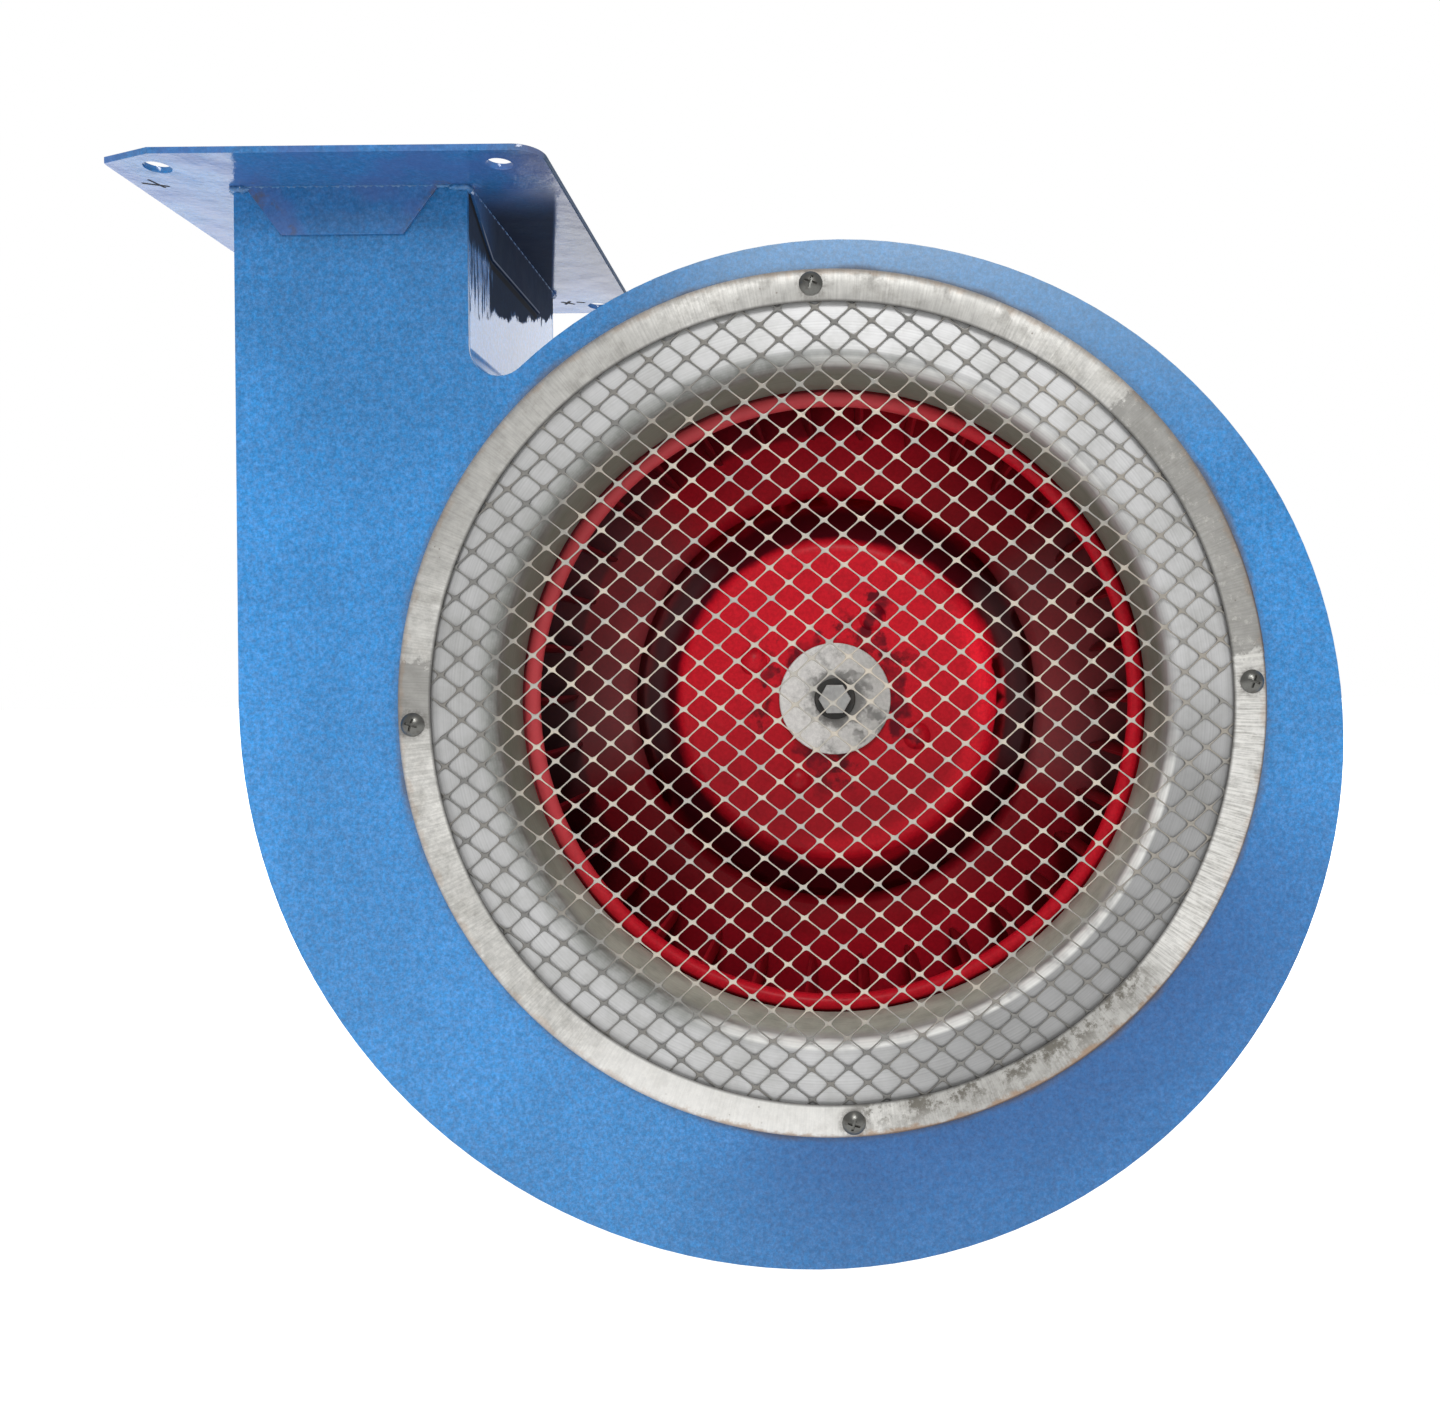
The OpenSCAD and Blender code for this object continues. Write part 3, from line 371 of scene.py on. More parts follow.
def flange_paint():
    """Enamel of the flange: painted shade and a dark painted reflection on the right beside the duct, painted
    shade at its far right end, a painted highlight along the side tab's edge, handling marks underneath.
    """
    look, colour = enamel("flange_paint", 0.16, 0.0, 0.5)
    colour = look.shade(colour, 0.76)
    hue = look.span(look.noise(30.0, 4.0, 0.6), 0.40, 0.60, 0.15, 0.65)
    colour = look.mix(hue, colour, (0.066, 0.118, 0.330))
    x, y, z = look.parts()
    # Painted shade: the far right end, past the duct, is turned a dull mauve grey.
    colour = look.mix(look.span(x, 0.060, 0.085, 0.0, 0.55), colour, (0.120, 0.095, 0.110))
    # Painted shade and a dark painted reflection on the underside and tab beside the duct.
    reach = look.times(look.maths("SUBTRACT", DUCT_Y, y), 0.27)
    beside = look.maths("SUBTRACT", look.maths("SUBTRACT", x, DUCT_X), reach)
    painted_shade = look.times(look.span(beside, -0.0015, 0.0010, 1.0, 0.0), look.span(x, DUCT_X - 0.0008, DUCT_X))
    painted_shade = look.times(painted_shade, look.span(z, -0.0022, -0.0012, 1.0, 0.0))
    painted_shade = look.times(painted_shade, look.span(y, -0.080, -0.030))
    colour = look.mix(look.times(painted_shade, 0.93), colour, (0.006, 0.012, 0.026))
    marks = 0.0
    for start, end, half in FLANGE_MARKS:
        marks = look.most(look.stroke(start, end, half), marks)
    colour = look.mix(marks, colour, (0.008, 0.008, 0.010))
    smear = look.span(look.noise(110.0, 5.0, 0.7), 0.46, 0.60, 0.0, 0.70)
    for side in (-1, 1):
        fold = look.stroke((side * 38, -68.4, -4), (side * 25, -68.4, -21), 3.4)
        colour = look.mix(look.times(fold, smear), colour, (0.095, 0.085, 0.095))
    # Painted highlight along the side tab's lower edge.
    wear_and_highlight = look.most(look.stroke((48.2, -66, -3.6), (48.2, -37, -21.6), 0.35),
                     look.stroke((48.2, -37, -21.6), (48.2, 36, -21.6), 0.35))
    colour = look.mix(look.times(wear_and_highlight, 0.8), colour, (0.30, 0.32, 0.38))
    rim = look.span(x, FLANGE_HIGH.x - 0.0007, FLANGE_HIGH.x - 0.0002, 0.0, 0.7)
    look.set("Base Color", look.mix(rim, colour, (0.012, 0.050, 0.090)))
    matt = look.most(look.most(painted_shade, marks), rim)
    matt = look.most(matt, look.span(look.noise(42.0, 5.0, 0.7), 0.46, 0.68, 0.0, 0.20))
    look.set("Roughness", look.span(matt, 0.0, 1.0, 0.14, 0.95))
    orange_peel(look)
    look.bump(look.noise(16.0, 3.0, 0.6), 0.0022, 0.5)
    look.bump(look.noise(64.0, 4.0, 0.6), 0.0009, 0.5)
    return look.material


def weld_paint():
    """Thinner, paler paint over the weld beads, worn in places and with pale painted highlights, with bright
    spatter at the left.
    """
    look, colour = enamel("weld_paint", 0.30, 0.2)
    # Pale patches: worn paint, and painted highlights on the beads.
    wear_and_highlight = look.span(look.noise(170.0, 5.0, 0.7), 0.42, 0.60, 0.05, 0.30)
    colour = look.mix(wear_and_highlight, look.shade(colour, 0.70), (0.16, 0.21, 0.32))
    spatter = look.span(look.cells(420.0), 0.16, 0.26, 0.85, 0.0)
    near_tack = look.span(look.parts()[0], -0.038, -0.034, 1.0, 0.0)
    look.set("Base Color", look.mix(look.times(spatter, near_tack), colour, (0.60, 0.66, 0.74)))
    orange_peel(look)
    return look.material


def front_paint():
    """Enamel of the front plate: painted shade at the top and bottom, painted light on the left, a painted
    shadow at the lower right, a pale wash at the upper middle, darkened brown at the ring.
    """
    look, colour = enamel("front_paint")
    x, _, z = look.parts()
    radius, angle = look.polar()
    # Painted shade: darker under the flange at the top and towards the bottom, lighter on the left.
    tone = look.times(look.span(z, -0.15, -0.04, 1.0, 0.74), look.span(z, -0.45, -0.35, 0.86, 1.0))
    tone = look.times(tone, look.span(x, -0.046, -0.010, 1.14, 1.0))
    colour = look.shade(colour, tone)
    shadow = look.times(look.near_angle(angle, -60.0, 24.0, 32.0),
                        look.span(radius, RING_OUTER, RING_OUTER + 0.065, 0.58, 0.28))
    colour = look.mix(shadow, colour, (0.004, 0.026, 0.150))
    # A pale wash over the upper middle.
    pale_wash = look.times(look.span(z, -0.13, -0.04), look.span(x, 0.09, 0.17, 0.0, 0.22))
    colour = look.mix(pale_wash, colour, (0.44, 0.56, 0.62))
    # A brown band darkening the paint along the ring's outer edge.
    ragged = look.maths("ADD", radius, look.span(look.noise(55.0, 4.0), 0.2, 0.8, -0.0012, 0.0012))
    amount = look.span(look.noise(18.0, 2.0), 0.40, 0.62, 0.15, 0.65)
    darkening = look.span(ragged, RING_OUTER + 0.0003, RING_OUTER + 0.0038, 1.0, 0.0)
    darkening = look.times(darkening, amount)
    look.set("Base Color", look.mix(darkening, colour, (0.115, 0.085, 0.060)))
    look.set("Roughness", look.span(darkening, 0.0, 0.7, 0.30, 0.75))
    orange_peel(look)
    return look.material


def red_enamel(name, low, high):
    """Dull red enamel. Gives the look and its colour, which drifts between low and high."""
    look = Look(name, Roughness=0.40, Specular_IOR_Level=0.12)
    grain = look.span(look.noise(700.0, 3.0, 0.6), 0.3, 0.7, 0.88, 1.10)
    return look, look.shade(look.mix(look.noise(30.0, 4.0), low, high), grain)


def dusted(look, colour):
    """Sets a red look's colour under a little dust, and gives the finished material."""
    dust = look.span(look.noise(70.0, 5.0, 0.65), 0.60, 0.84, 0.0, 0.10)
    look.set("Base Color", look.mix(dust, colour, (0.34, 0.12, 0.12)))
    look.set("Roughness", look.span(dust, 0.0, 0.10, 0.34, 0.55))
    look.bump(look.noise(300.0, 3.0), 0.00010, 0.5)
    return look.material


def blade_gaps(look, start, end):
    """Painted shade in the gaps between the blades at the upper left, past a radius."""
    radius, angle = look.polar()
    return look.times(look.span(radius, start, end, 0.0, 0.75), look.near_angle(angle, 155.0, 55.0, 30.0))


def lip_paint():
    """Red of the front ring, with a pink painted highlight at its upper left."""
    look, colour = red_enamel("red_lip", (0.480, 0.006, 0.016), (0.580, 0.010, 0.024))
    lip_highlight = look.near_angle(look.polar()[1], 140.0, 50.0, 40.0)
    return dusted(look, look.mix(look.times(lip_highlight, 0.75), colour, (0.56, 0.085, 0.095)))


def blade_paint():
    """Red of the blades, with painted shade towards the right and in the gaps at the upper left."""
    look, colour = red_enamel("red_blade", (0.380, 0.009, 0.018), (0.500, 0.013, 0.024))
    # Painted shade: darker towards the right.
    across = look.maths("COSINE", look.maths("ADD", look.polar()[1], 0.2))
    colour = look.shade(colour, look.span(across, -0.6, 0.9, 1.0, 0.40))
    return dusted(look, look.mix(blade_gaps(look, 0.112, 0.119), colour, RED_SHADE))


def disc_painted_shade(look, radius):
    """Painted shade on the back disc: bands by radius from a point beside the axis, the blade gaps, and
    darkening near the hub.
    """
    wander = look.span(look.noise(48.0, 4.0, 0.6), 0.3, 0.7, -0.0015, 0.0015)
    beside = look.vector("SUBTRACT", look.flat(), (AXIS.x + SHADE_LEAN, 0.0, AXIS.z - SHADE_LEAN))
    leaning = look.maths("ADD", look.vector("LENGTH", beside), wander)
    painted_shade = 0.0
    for start, end, amount in DISC_PAINTED_SHADE:
        painted_shade = look.maths("ADD", look.span(leaning, start, end, 0.0, amount), painted_shade)
    painted_shade = look.most(painted_shade, blade_gaps(look, 0.127, 0.133))
    darkening = look.span(look.noise(58.0, 5.0, 0.68), 0.54, 0.66, 0.0, 0.80)
    near_hub = look.span(radius, 0.032, 0.050, 1.0, 0.18)
    return look.most(painted_shade, look.times(darkening, near_hub))


def disc_paint():
    """Red of the back disc and its rivets: painted shade on the slope, smeared round the hub, with painted
    light and shade by height and angle and a pale painted sheen at both sides.
    """
    look, colour = red_enamel("red_paint", (0.520, 0.006, 0.016), (0.620, 0.010, 0.024))
    radius, angle = look.polar()
    height = look.parts()[2]
    # Painted shade: darker towards the bottom and on the right.
    colour = look.shade(colour, look.span(height, AXIS.z - 0.055, AXIS.z + 0.030, 0.56, 1.0))
    colour = look.light(colour, angle, (5.0, 35.0, 45.0), radius, (0.084, 0.092), 0.60)
    colour = look.mix(look.smears(HUB_SMEARS, 80.0, 0.90), colour, (0.070, 0.002, 0.008))
    # Painted light on the raised centre's edge at the lower right.
    colour = look.light(colour, angle, (-35.0, 45.0, 35.0), radius, (0.060, 0.070), 1.55)
    # Painted shade on the slope, the flat rim and the blade gaps.
    colour = look.mix(disc_painted_shade(look, radius), colour, RED_SHADE)
    # Painted light at the top and bottom, painted shade at the lower left.
    colour = look.light(colour, angle, (88.0, 30.0, 30.0), radius, (0.084, 0.096), 1.35)
    colour = look.light(colour, angle, (-82.0, 30.0, 25.0), radius, (0.117, 0.124), 1.35)
    colour = look.light(colour, angle, (-160.0, 18.0, 30.0), radius, (0.084, 0.096), 0.62)
    # A pale painted sheen at both sides.
    sides = look.most(look.near_angle(angle, 165.0, 18.0, 22.0), look.near_angle(angle, 8.0, 20.0, 16.0))
    pale_wash = look.times(sides, look.span(radius, 0.078, 0.086))
    colour = look.mix(look.times(pale_wash, 0.19), colour, (0.200, 0.210, 0.210))
    return dusted(look, colour)


def spun_sheet():
    """Spun zinc-coated sheet of the inlet cone: bright flat rim, dull, stained and darker inside the throat;
    painted shade on the rim's lower right, painted light low in the throat, a painted highlight on the bend.
    """
    look = Look("spun_sheet")
    radius, angle = look.polar()
    y = look.parts()[1]
    lines = look.noise(1.0, 2.0, 0.5, look.join(look.times(radius, 1800.0), look.times(y, 1800.0), 0.0))
    stain = look.span(look.noise(55.0, 6.0, 0.68), 0.35, 0.72, 0.0, 0.60)
    rim = look.mix(stain, (0.53, 0.53, 0.53), (0.35, 0.35, 0.335))
    dull_left = look.near_angle(angle, 155.0, 35.0, 25.0)
    rim = look.mix(look.times(dull_left, 0.22), rim, (0.24, 0.24, 0.235))
    # Painted shade on the rim's lower right.
    foot_shade = look.near_angle(angle, -42.0, 22.0, 30.0)
    rim = look.mix(look.times(foot_shade, 0.62), rim, (0.20, 0.20, 0.20))
    # Painted light: the throat lighter towards its bottom.
    low = look.near_angle(angle, -80.0, 45.0, 40.0)
    tube = look.mix(low, (0.225, 0.250, 0.200), (0.550, 0.590, 0.500))
    tube = look.mix(look.times(stain, 0.7), tube, (0.130, 0.150, 0.112))
    # A darker band at the rim's inner edge on the left.
    rim_darkening = look.times(look.span(radius, 0.1370, 0.1450, 0.80, 0.0),
                      look.near_angle(angle, 165.0, 75.0, 30.0))
    cloudy = look.span(look.noise(90.0, 5.0, 0.7), 0.30, 0.62, 0.55, 1.0)
    rim = look.mix(look.times(rim_darkening, cloudy), rim, (0.150, 0.160, 0.140))
    # Darker into the throat: dust, with painted shade.
    deep = look.span(y, FRONT - 0.0005, FRONT + 0.0150)
    colour = look.mix(deep, rim, tube)
    # Painted highlight on the bend at the lower right and upper right.
    crest = look.times(look.span(radius, 0.1358, 0.1368), look.span(radius, 0.1388, 0.1400, 1.0, 0.0))
    bead_highlight = look.most(look.near_angle(angle, -60.0, 42.0, 18.0),
                       look.times(look.near_angle(angle, 66.0, 22.0, 14.0), 0.55))
    uneven = look.span(look.noise(75.0, 3.0, 0.6), 0.32, 0.55, 0.45, 0.95)
    colour = look.mix(look.times(look.times(crest, bead_highlight), uneven), colour, (0.78, 0.78, 0.75))
    look.set("Base Color", look.shade(colour, look.span(lines, 0.3, 0.7, 0.92, 1.05)))
    look.set("Metallic", look.span(radius, 0.1385, 0.1420, 0.0, 0.55))
    look.set("Roughness", look.span(radius, 0.1385, 0.1420, 0.75, 0.45))
    look.bump(lines, 0.00006, 0.6)
    return look.material


def ring_zinc(look, angle, brush, blotch):
    """Bare zinc of the clamp ring: blotched, brushed across, rubbed bright and dark at the lower right."""
    colour = look.mix(blotch, (0.585, 0.575, 0.545), (0.40, 0.385, 0.35))
    grit = look.span(look.noise(260.0, 6.0, 0.80), 0.30, 0.68, 0.76, 1.12)
    streaks = look.span(brush, 0.30, 0.66, 0.84, 1.10)
    colour = look.shade(colour, look.times(grit, streaks))
    wear_and_highlight = look.near_angle(angle, -20.0, 16.0, 12.0)
    bright = look.times(wear_and_highlight, look.span(brush, 0.42, 0.60, 0.0, 0.7))
    dark = look.times(wear_and_highlight, look.span(brush, 0.30, 0.42, 0.5, 0.0))
    return look.mix(dark, look.mix(bright, colour, (0.72, 0.71, 0.68)), (0.30, 0.28, 0.25))


def ring_dulling_and_light(look, angle, fine, colour):
    """Duller stretches of the clamp ring, partly painted shade, its one polished stretch with a painted
    highlight, and the bright edge of its joint.
    """
    wobble = look.span(look.noise(85.0, 5.0, 0.7), 0.30, 0.70, -0.030, 0.030)
    frayed = look.maths("ADD", angle, wobble)
    for centre, half, soft, amount in RING_DULL_AND_SHADE:
        place = look.near_angle(frayed, centre, half, soft)
        cover = look.times(place, look.span(fine, 0.25, 0.75, 0.80 * amount, 1.15 * amount))
        colour = look.mix(cover, colour, (0.150, 0.146, 0.135))
    flecks = look.span(look.noise(240.0, 6.0, 0.85), 0.55, 0.64, 0.0, 0.55)
    colour = look.mix(look.times(flecks, look.near_angle(angle, 28.0, 20.0, 12.0)), colour,
                      (0.50, 0.485, 0.45))
    # Polished stretch, brightened further as a painted highlight.
    polish_and_highlight = look.times(look.near_angle(angle, -106.0, 10.0, 16.0), 0.6)
    colour = look.mix(polish_and_highlight, colour, (0.740, 0.730, 0.705))
    lap = look.near_angle(angle, 5.9, 0.10, 0.16)
    return look.mix(look.times(lap, 0.7), colour, (0.75, 0.74, 0.70))


def ring_stains(look, radius, angle, colour):
    """Stains at the clamp ring's lower right, rust and a dark band along its outer edge, and scattered
    specks.
    """
    stained = look.times(look.near_angle(angle, -64.0, 20.0, 6.0),
                         look.span(radius, 0.1640, 0.1700, 1.0, 0.35))
    patches = look.span(look.noise(120.0, 7.0, 0.78), 0.45, 0.57, 0.0, 0.88)
    colour = look.mix(look.times(stained, patches), colour, (0.115, 0.105, 0.085))
    wander = look.span(look.noise(120.0, 4.0, 0.7), 0.25, 0.75, -0.0020, 0.0020)
    edge = look.span(look.maths("ADD", radius, wander), RING_OUTER - 0.0034, RING_OUTER - 0.0008, 0.0, 0.62)
    rusty = look.span(look.near_angle(angle, -75.0, 25.0, 20.0), 0.0, 1.0, 0.45, 1.0)
    colour = look.mix(look.times(edge, rusty), colour, (0.330, 0.190, 0.095))
    dark_outer_edge = look.times(look.span(radius, RING_OUTER - 0.0016, RING_OUTER - 0.0005, 0.0, 0.80),
                       look.near_angle(angle, -30.0, 45.0, 25.0))
    colour = look.mix(dark_outer_edge, colour, (0.100, 0.062, 0.042))
    specks = look.span(look.cells(260.0), 0.05, 0.14, 0.6, 0.0)
    rare = look.span(look.noise(34.0, 3.0), 0.54, 0.64)
    return look.mix(look.times(specks, rare), colour, (0.12, 0.09, 0.07))


def ring_sheet():
    """Dull galvanised clamp ring: brushed across, stained, dirty round its screws and rusty at its edge, with
    some painted shade and a painted highlight.
    """
    look = Look("ring_sheet", Metallic=0.45, Roughness=0.48)
    radius, angle = look.polar()
    across = look.join(look.times(angle, 190.0), look.times(radius, 60.0), 0.0)
    brush = look.noise(1.0, 4.0, 0.65, across)
    blotch = look.span(look.noise(70.0, 7.0, 0.72), 0.46, 0.66, 0.0, 0.50)
    fine = look.noise(520.0, 4.0, 0.75)
    colour = ring_zinc(look, angle, brush, blotch)
    colour = ring_dulling_and_light(look, angle, fine, colour)
    colour = ring_stains(look, radius, angle, colour)
    for k in range(4):
        turn = math.radians(90 * k - SCREW_TURN)
        spot = AXIS + Vector((math.cos(turn), 0.0, math.sin(turn))) * SCREW_CIRCLE
        off = look.vector("SUBTRACT", look.flat(), (spot.x, 0.0, spot.z))
        halo = look.span(look.vector("LENGTH", off), 0.0052, 0.0078, 0.55, 0.0)
        colour = look.mix(look.times(halo, look.span(fine, 0.4, 0.6)), colour, (0.13, 0.12, 0.11))
    inner = look.span(radius, 0.1605, 0.1616, 0.80, 0.0)
    look.set("Base Color", look.mix(inner, colour, (0.06, 0.058, 0.055)))
    look.set("Roughness", look.span(blotch, 0.0, 0.50, 0.44, 0.62))
    look.bump(brush, 0.00006, 0.7)
    look.bump(look.noise(60.0, 3.0), 0.0004, 0.35)
    look.bump(fine, 0.00006, 0.5)
    return look.material


def mesh_steel():
    """Zinc-coated expanded metal, slightly yellowed, with painted shade on the strands over the cone's rim.
    """
    look = Look("mesh_steel", Metallic=0.35, Roughness=0.42)
    tint = look.noise(60.0, 4.0, 0.6)
    colour = look.mix(look.span(tint, 0.38, 0.62), (0.390, 0.375, 0.340), (0.540, 0.480, 0.395))
    radius, angle = look.polar()
    # Painted shade: strands darker over the cone's rim, less so at the right.
    darkened = look.times(look.span(radius, 0.116, 0.142, 0.0, 0.82),
                      look.span(look.near_angle(angle, 15.0, 30.0, 30.0), 0.0, 1.0, 1.0, 0.70))
    colour = look.mix(darkened, colour, (0.125, 0.126, 0.122))
    dirt = look.span(look.noise(300.0, 3.0), 0.55, 0.75, 0.0, 0.5)
    look.set("Base Color", look.mix(dirt, colour, (0.20, 0.19, 0.17)))
    look.set("Roughness", look.span(look.noise(200.0, 3.0), 0.3, 0.7, 0.34, 0.50))
    look.bump(look.noise(900.0, 2.0), 0.00008, 0.5)
    return look.material


def metal(name, base, roughness, metallic=1.0, dirt=(0.10, 0.09, 0.08), amount=0.4, scale=160.0):
    """Plain machined or cast metal with smudges."""
    look = Look(name, Metallic=metallic, Roughness=roughness)
    smudge = look.span(look.noise(scale, 5.0, 0.65), 0.45, 0.75, 0.0, amount)
    fine = look.span(look.noise(scale * 6, 3.0), 0.3, 0.7, 0.93, 1.05)
    look.set("Base Color", look.mix(smudge, look.shade(base, fine), dirt))
    look.set("Roughness", look.span(smudge, 0.0, amount, roughness - 0.05, roughness + 0.16))
    look.bump(look.noise(scale * 4, 3.0), 0.00006, 0.5)
    return look.material


def washer_steel():
    """Hub washer, darker on the right, with dark greasy smears round the bolt."""
    look = Look("washer_steel", Metallic=0.5, Roughness=0.45)
    x = look.parts()[0]
    smear = look.noise(85.0, 6.0, 0.68)
    near = look.span(look.polar()[0], 0.008, 0.018, 0.26, 0.0)
    dark = look.span(look.maths("ADD", smear, near), 0.50, 0.74, 0.0, 0.82)
    darkened = look.span(x, AXIS.x - 0.012, AXIS.x + 0.020, 0.0, 0.55)
    colour = look.mix(darkened, (0.66, 0.645, 0.62), (0.30, 0.29, 0.27))
    fine = look.span(look.noise(600.0, 4.0, 0.7), 0.3, 0.7, 0.88, 1.10)
    dark = look.most(dark, look.smears(WASHER_SMEARS, 150.0, 0.75))
    look.set("Base Color", look.mix(dark, look.shade(colour, fine), (0.11, 0.107, 0.10)))
    look.set("Roughness", look.span(dark, 0.0, 0.80, 0.42, 0.60))
    look.bump(look.noise(500.0, 3.0), 0.00006, 0.6)
    return look.material


def plastic(name, base, roughness=0.5):
    """Moulded plastic or rubber with a fine grain."""
    look = Look(name, Roughness=roughness)
    fine = look.span(look.noise(700.0, 3.0), 0.3, 0.7, 0.88, 1.12)
    look.set("Base Color", look.shade(base, fine))
    look.set("Roughness", look.span(look.noise(60.0, 3.0), 0.3, 0.7, roughness - 0.06, roughness + 0.08))
    look.bump(look.noise(900.0, 2.0), 0.00008, 0.5)
    return look.material


def cast_paint(name, base):
    """Paint over a sand-cast or die-cast motor surface."""
    look = Look(name, Roughness=0.42, Coat_Weight=0.15, Coat_Roughness=0.25)
    grit = look.noise(380.0, 4.0, 0.6)
    dust = look.span(look.noise(40.0, 5.0, 0.6), 0.50, 0.78, 0.0, 0.35)
    colour = look.shade(base, look.span(grit, 0.3, 0.7, 0.88, 1.08))
    look.set("Base Color", look.mix(dust, colour, (0.34, 0.33, 0.31)))
    look.set("Roughness", look.span(dust, 0.0, 0.35, 0.38, 0.62))
    look.bump(grit, 0.00025, 0.5)
    return look.material


def copper_winding():
    """Lacquered copper turns, running round the end windings."""
    look = Look("copper_winding", Metallic=0.6, Roughness=0.35, Coat_Weight=0.5, Coat_Roughness=0.2)
    radius, angle = look.polar()
    turns = look.noise(1.0, 2.0, 0.5, look.join(look.times(radius, 1400.0), look.times(angle, 2.0), 0.0))
    look.set("Base Color", look.mix(look.span(turns, 0.35, 0.65), (0.42, 0.16, 0.06), (0.72, 0.33, 0.14)))
    look.bump(turns, 0.0003, 0.6)
    return look.material


def laminations():
    """Stacked electrical steel, its sheets showing as fine rings along the axis."""
    look = Look("laminations", Metallic=0.8, Roughness=0.45)
    y = look.parts()[1]
    sheets = look.noise(1.0, 0.0, 0.5, look.join(0.0, look.times(y, 2000.0), 0.0))
    look.set("Base Color", look.mix(sheets, (0.13, 0.13, 0.14), (0.34, 0.34, 0.35)))
    look.bump(sheets, 0.0001, 0.6)
    return look.material


MOTOR_BLUE = (0.060, 0.150, 0.290)
# Colour of the painted shade on the red blades and back disc
RED_SHADE = (0.020, 0.003, 0.006)
# Handling marks under the flange, as strokes in mm
FLANGE_MARKS = (
    ((-80, -72, -2.5), (-72, -69, -2.5), 0.7), ((-76, -75, -2.5), (-74, -68, -2.5), 0.6),
    ((49, 79, -2.5), (54, 82, -2.5), 0.9), ((50, 82, -2.5), (53, 78, -2.5), 0.8),
    ((57, 79, -2.5), (60, 80, -2.5), 0.8),
)
# Painted shade on the back disc as (from, to, amount) by radius in metres: heavy on the slope, lighter on the
# flat rim
DISC_PAINTED_SHADE = ((0.0755, 0.0805, 0.88), (0.092, 0.102, -0.60), (0.112, 0.124, 0.12))
# How far the painted shade's centre lies right of the axis and below it, in metres
SHADE_LEAN = 0.0030
# Duller stretches of the clamp ring, partly painted shade: centre, half width and softness in degrees, and
# amount
RING_DULL_AND_SHADE = (
    (26.0, 19.6, 0.8, 0.62), (44.0, 8.0, 14.0, 0.20), (135.0, 14.0, 18.0, 0.42), (84.0, 12.0, 14.0, 0.44),
    (-60.0, 12.0, 14.0, 0.40), (-142.0, 10.0, 12.0, 0.14), (178.6, 4.0, 0.8, 0.58),
    (170.0, 12.0, 10.0, 0.16),
)
# Greasy smears on the dome round the hub washer, and on the washer round its bolt
HUB_SMEARS = (
    ((24, 20), (30, -6), 3.6), ((12, 30), (22, 40), 3.2), ((17, 48), (25, 44), 2.4),
    ((15, 24), (22, 27), 3.0), ((-8, 27), (-20, 19), 2.8), ((-14, -25), (-7, -33), 3.6),
    ((-30, 14), (-34, 10), 2.4), ((30, -14), (36, -20), 2.6),
)
WASHER_SMEARS = (
    ((-6, 9.5), (8, 10.5), 2.2), ((9.5, 9), (10.5, -5), 2.4), ((13, 8), (17, 6), 2.6),
    ((-11, 9), (-10, -4), 3.0), ((-2, -8.5), (8, -9.5), 2.4), ((10, -16), (13, -19), 2.4),
    ((16, -6), (21, -9), 2.4),
)
LOOKS = {
    "blue_paint": blue_paint(),
    "front_paint": front_paint(),
    "flange_paint": flange_paint(),
    "red_paint": disc_paint(),
    "red_lip": lip_paint(),
    "red_blade": blade_paint(),
    "weld_paint": weld_paint(),
    "spun_sheet": spun_sheet(),
    "ring_sheet": ring_sheet(),
    "mesh_steel": mesh_steel(),
    "screw_steel": metal("screw_steel", (0.15, 0.15, 0.14), 0.36, amount=0.7, scale=420.0),
    "washer_steel": washer_steel(),
    "bright_steel": metal("bright_steel", (0.62, 0.62, 0.61), 0.30),
    "dark_steel": metal("dark_steel", (0.20, 0.20, 0.21), 0.42),
    "hub_steel": metal("hub_steel", (0.40, 0.40, 0.39), 0.45, amount=0.3, scale=90.0),
    "greasy_steel": metal("greasy_steel", (0.055, 0.055, 0.054), 0.55, amount=0.5, scale=90.0),
    "motor_paint": cast_paint("motor_paint", MOTOR_BLUE),
    "cast_aluminium": metal("cast_aluminium", (0.60, 0.60, 0.61), 0.42, amount=0.3),
    "laminations": laminations(),
    "copper_winding": copper_winding(),
    "brass": metal("brass", (0.72, 0.50, 0.20), 0.32, dirt=(0.20, 0.12, 0.05)),
    "black_plastic": plastic("black_plastic", (0.020, 0.020, 0.022)),
    "black_rubber": plastic("black_rubber", (0.014, 0.014, 0.014), 0.75),
    "grey_plastic": plastic("grey_plastic", (0.28, 0.29, 0.30)),
}

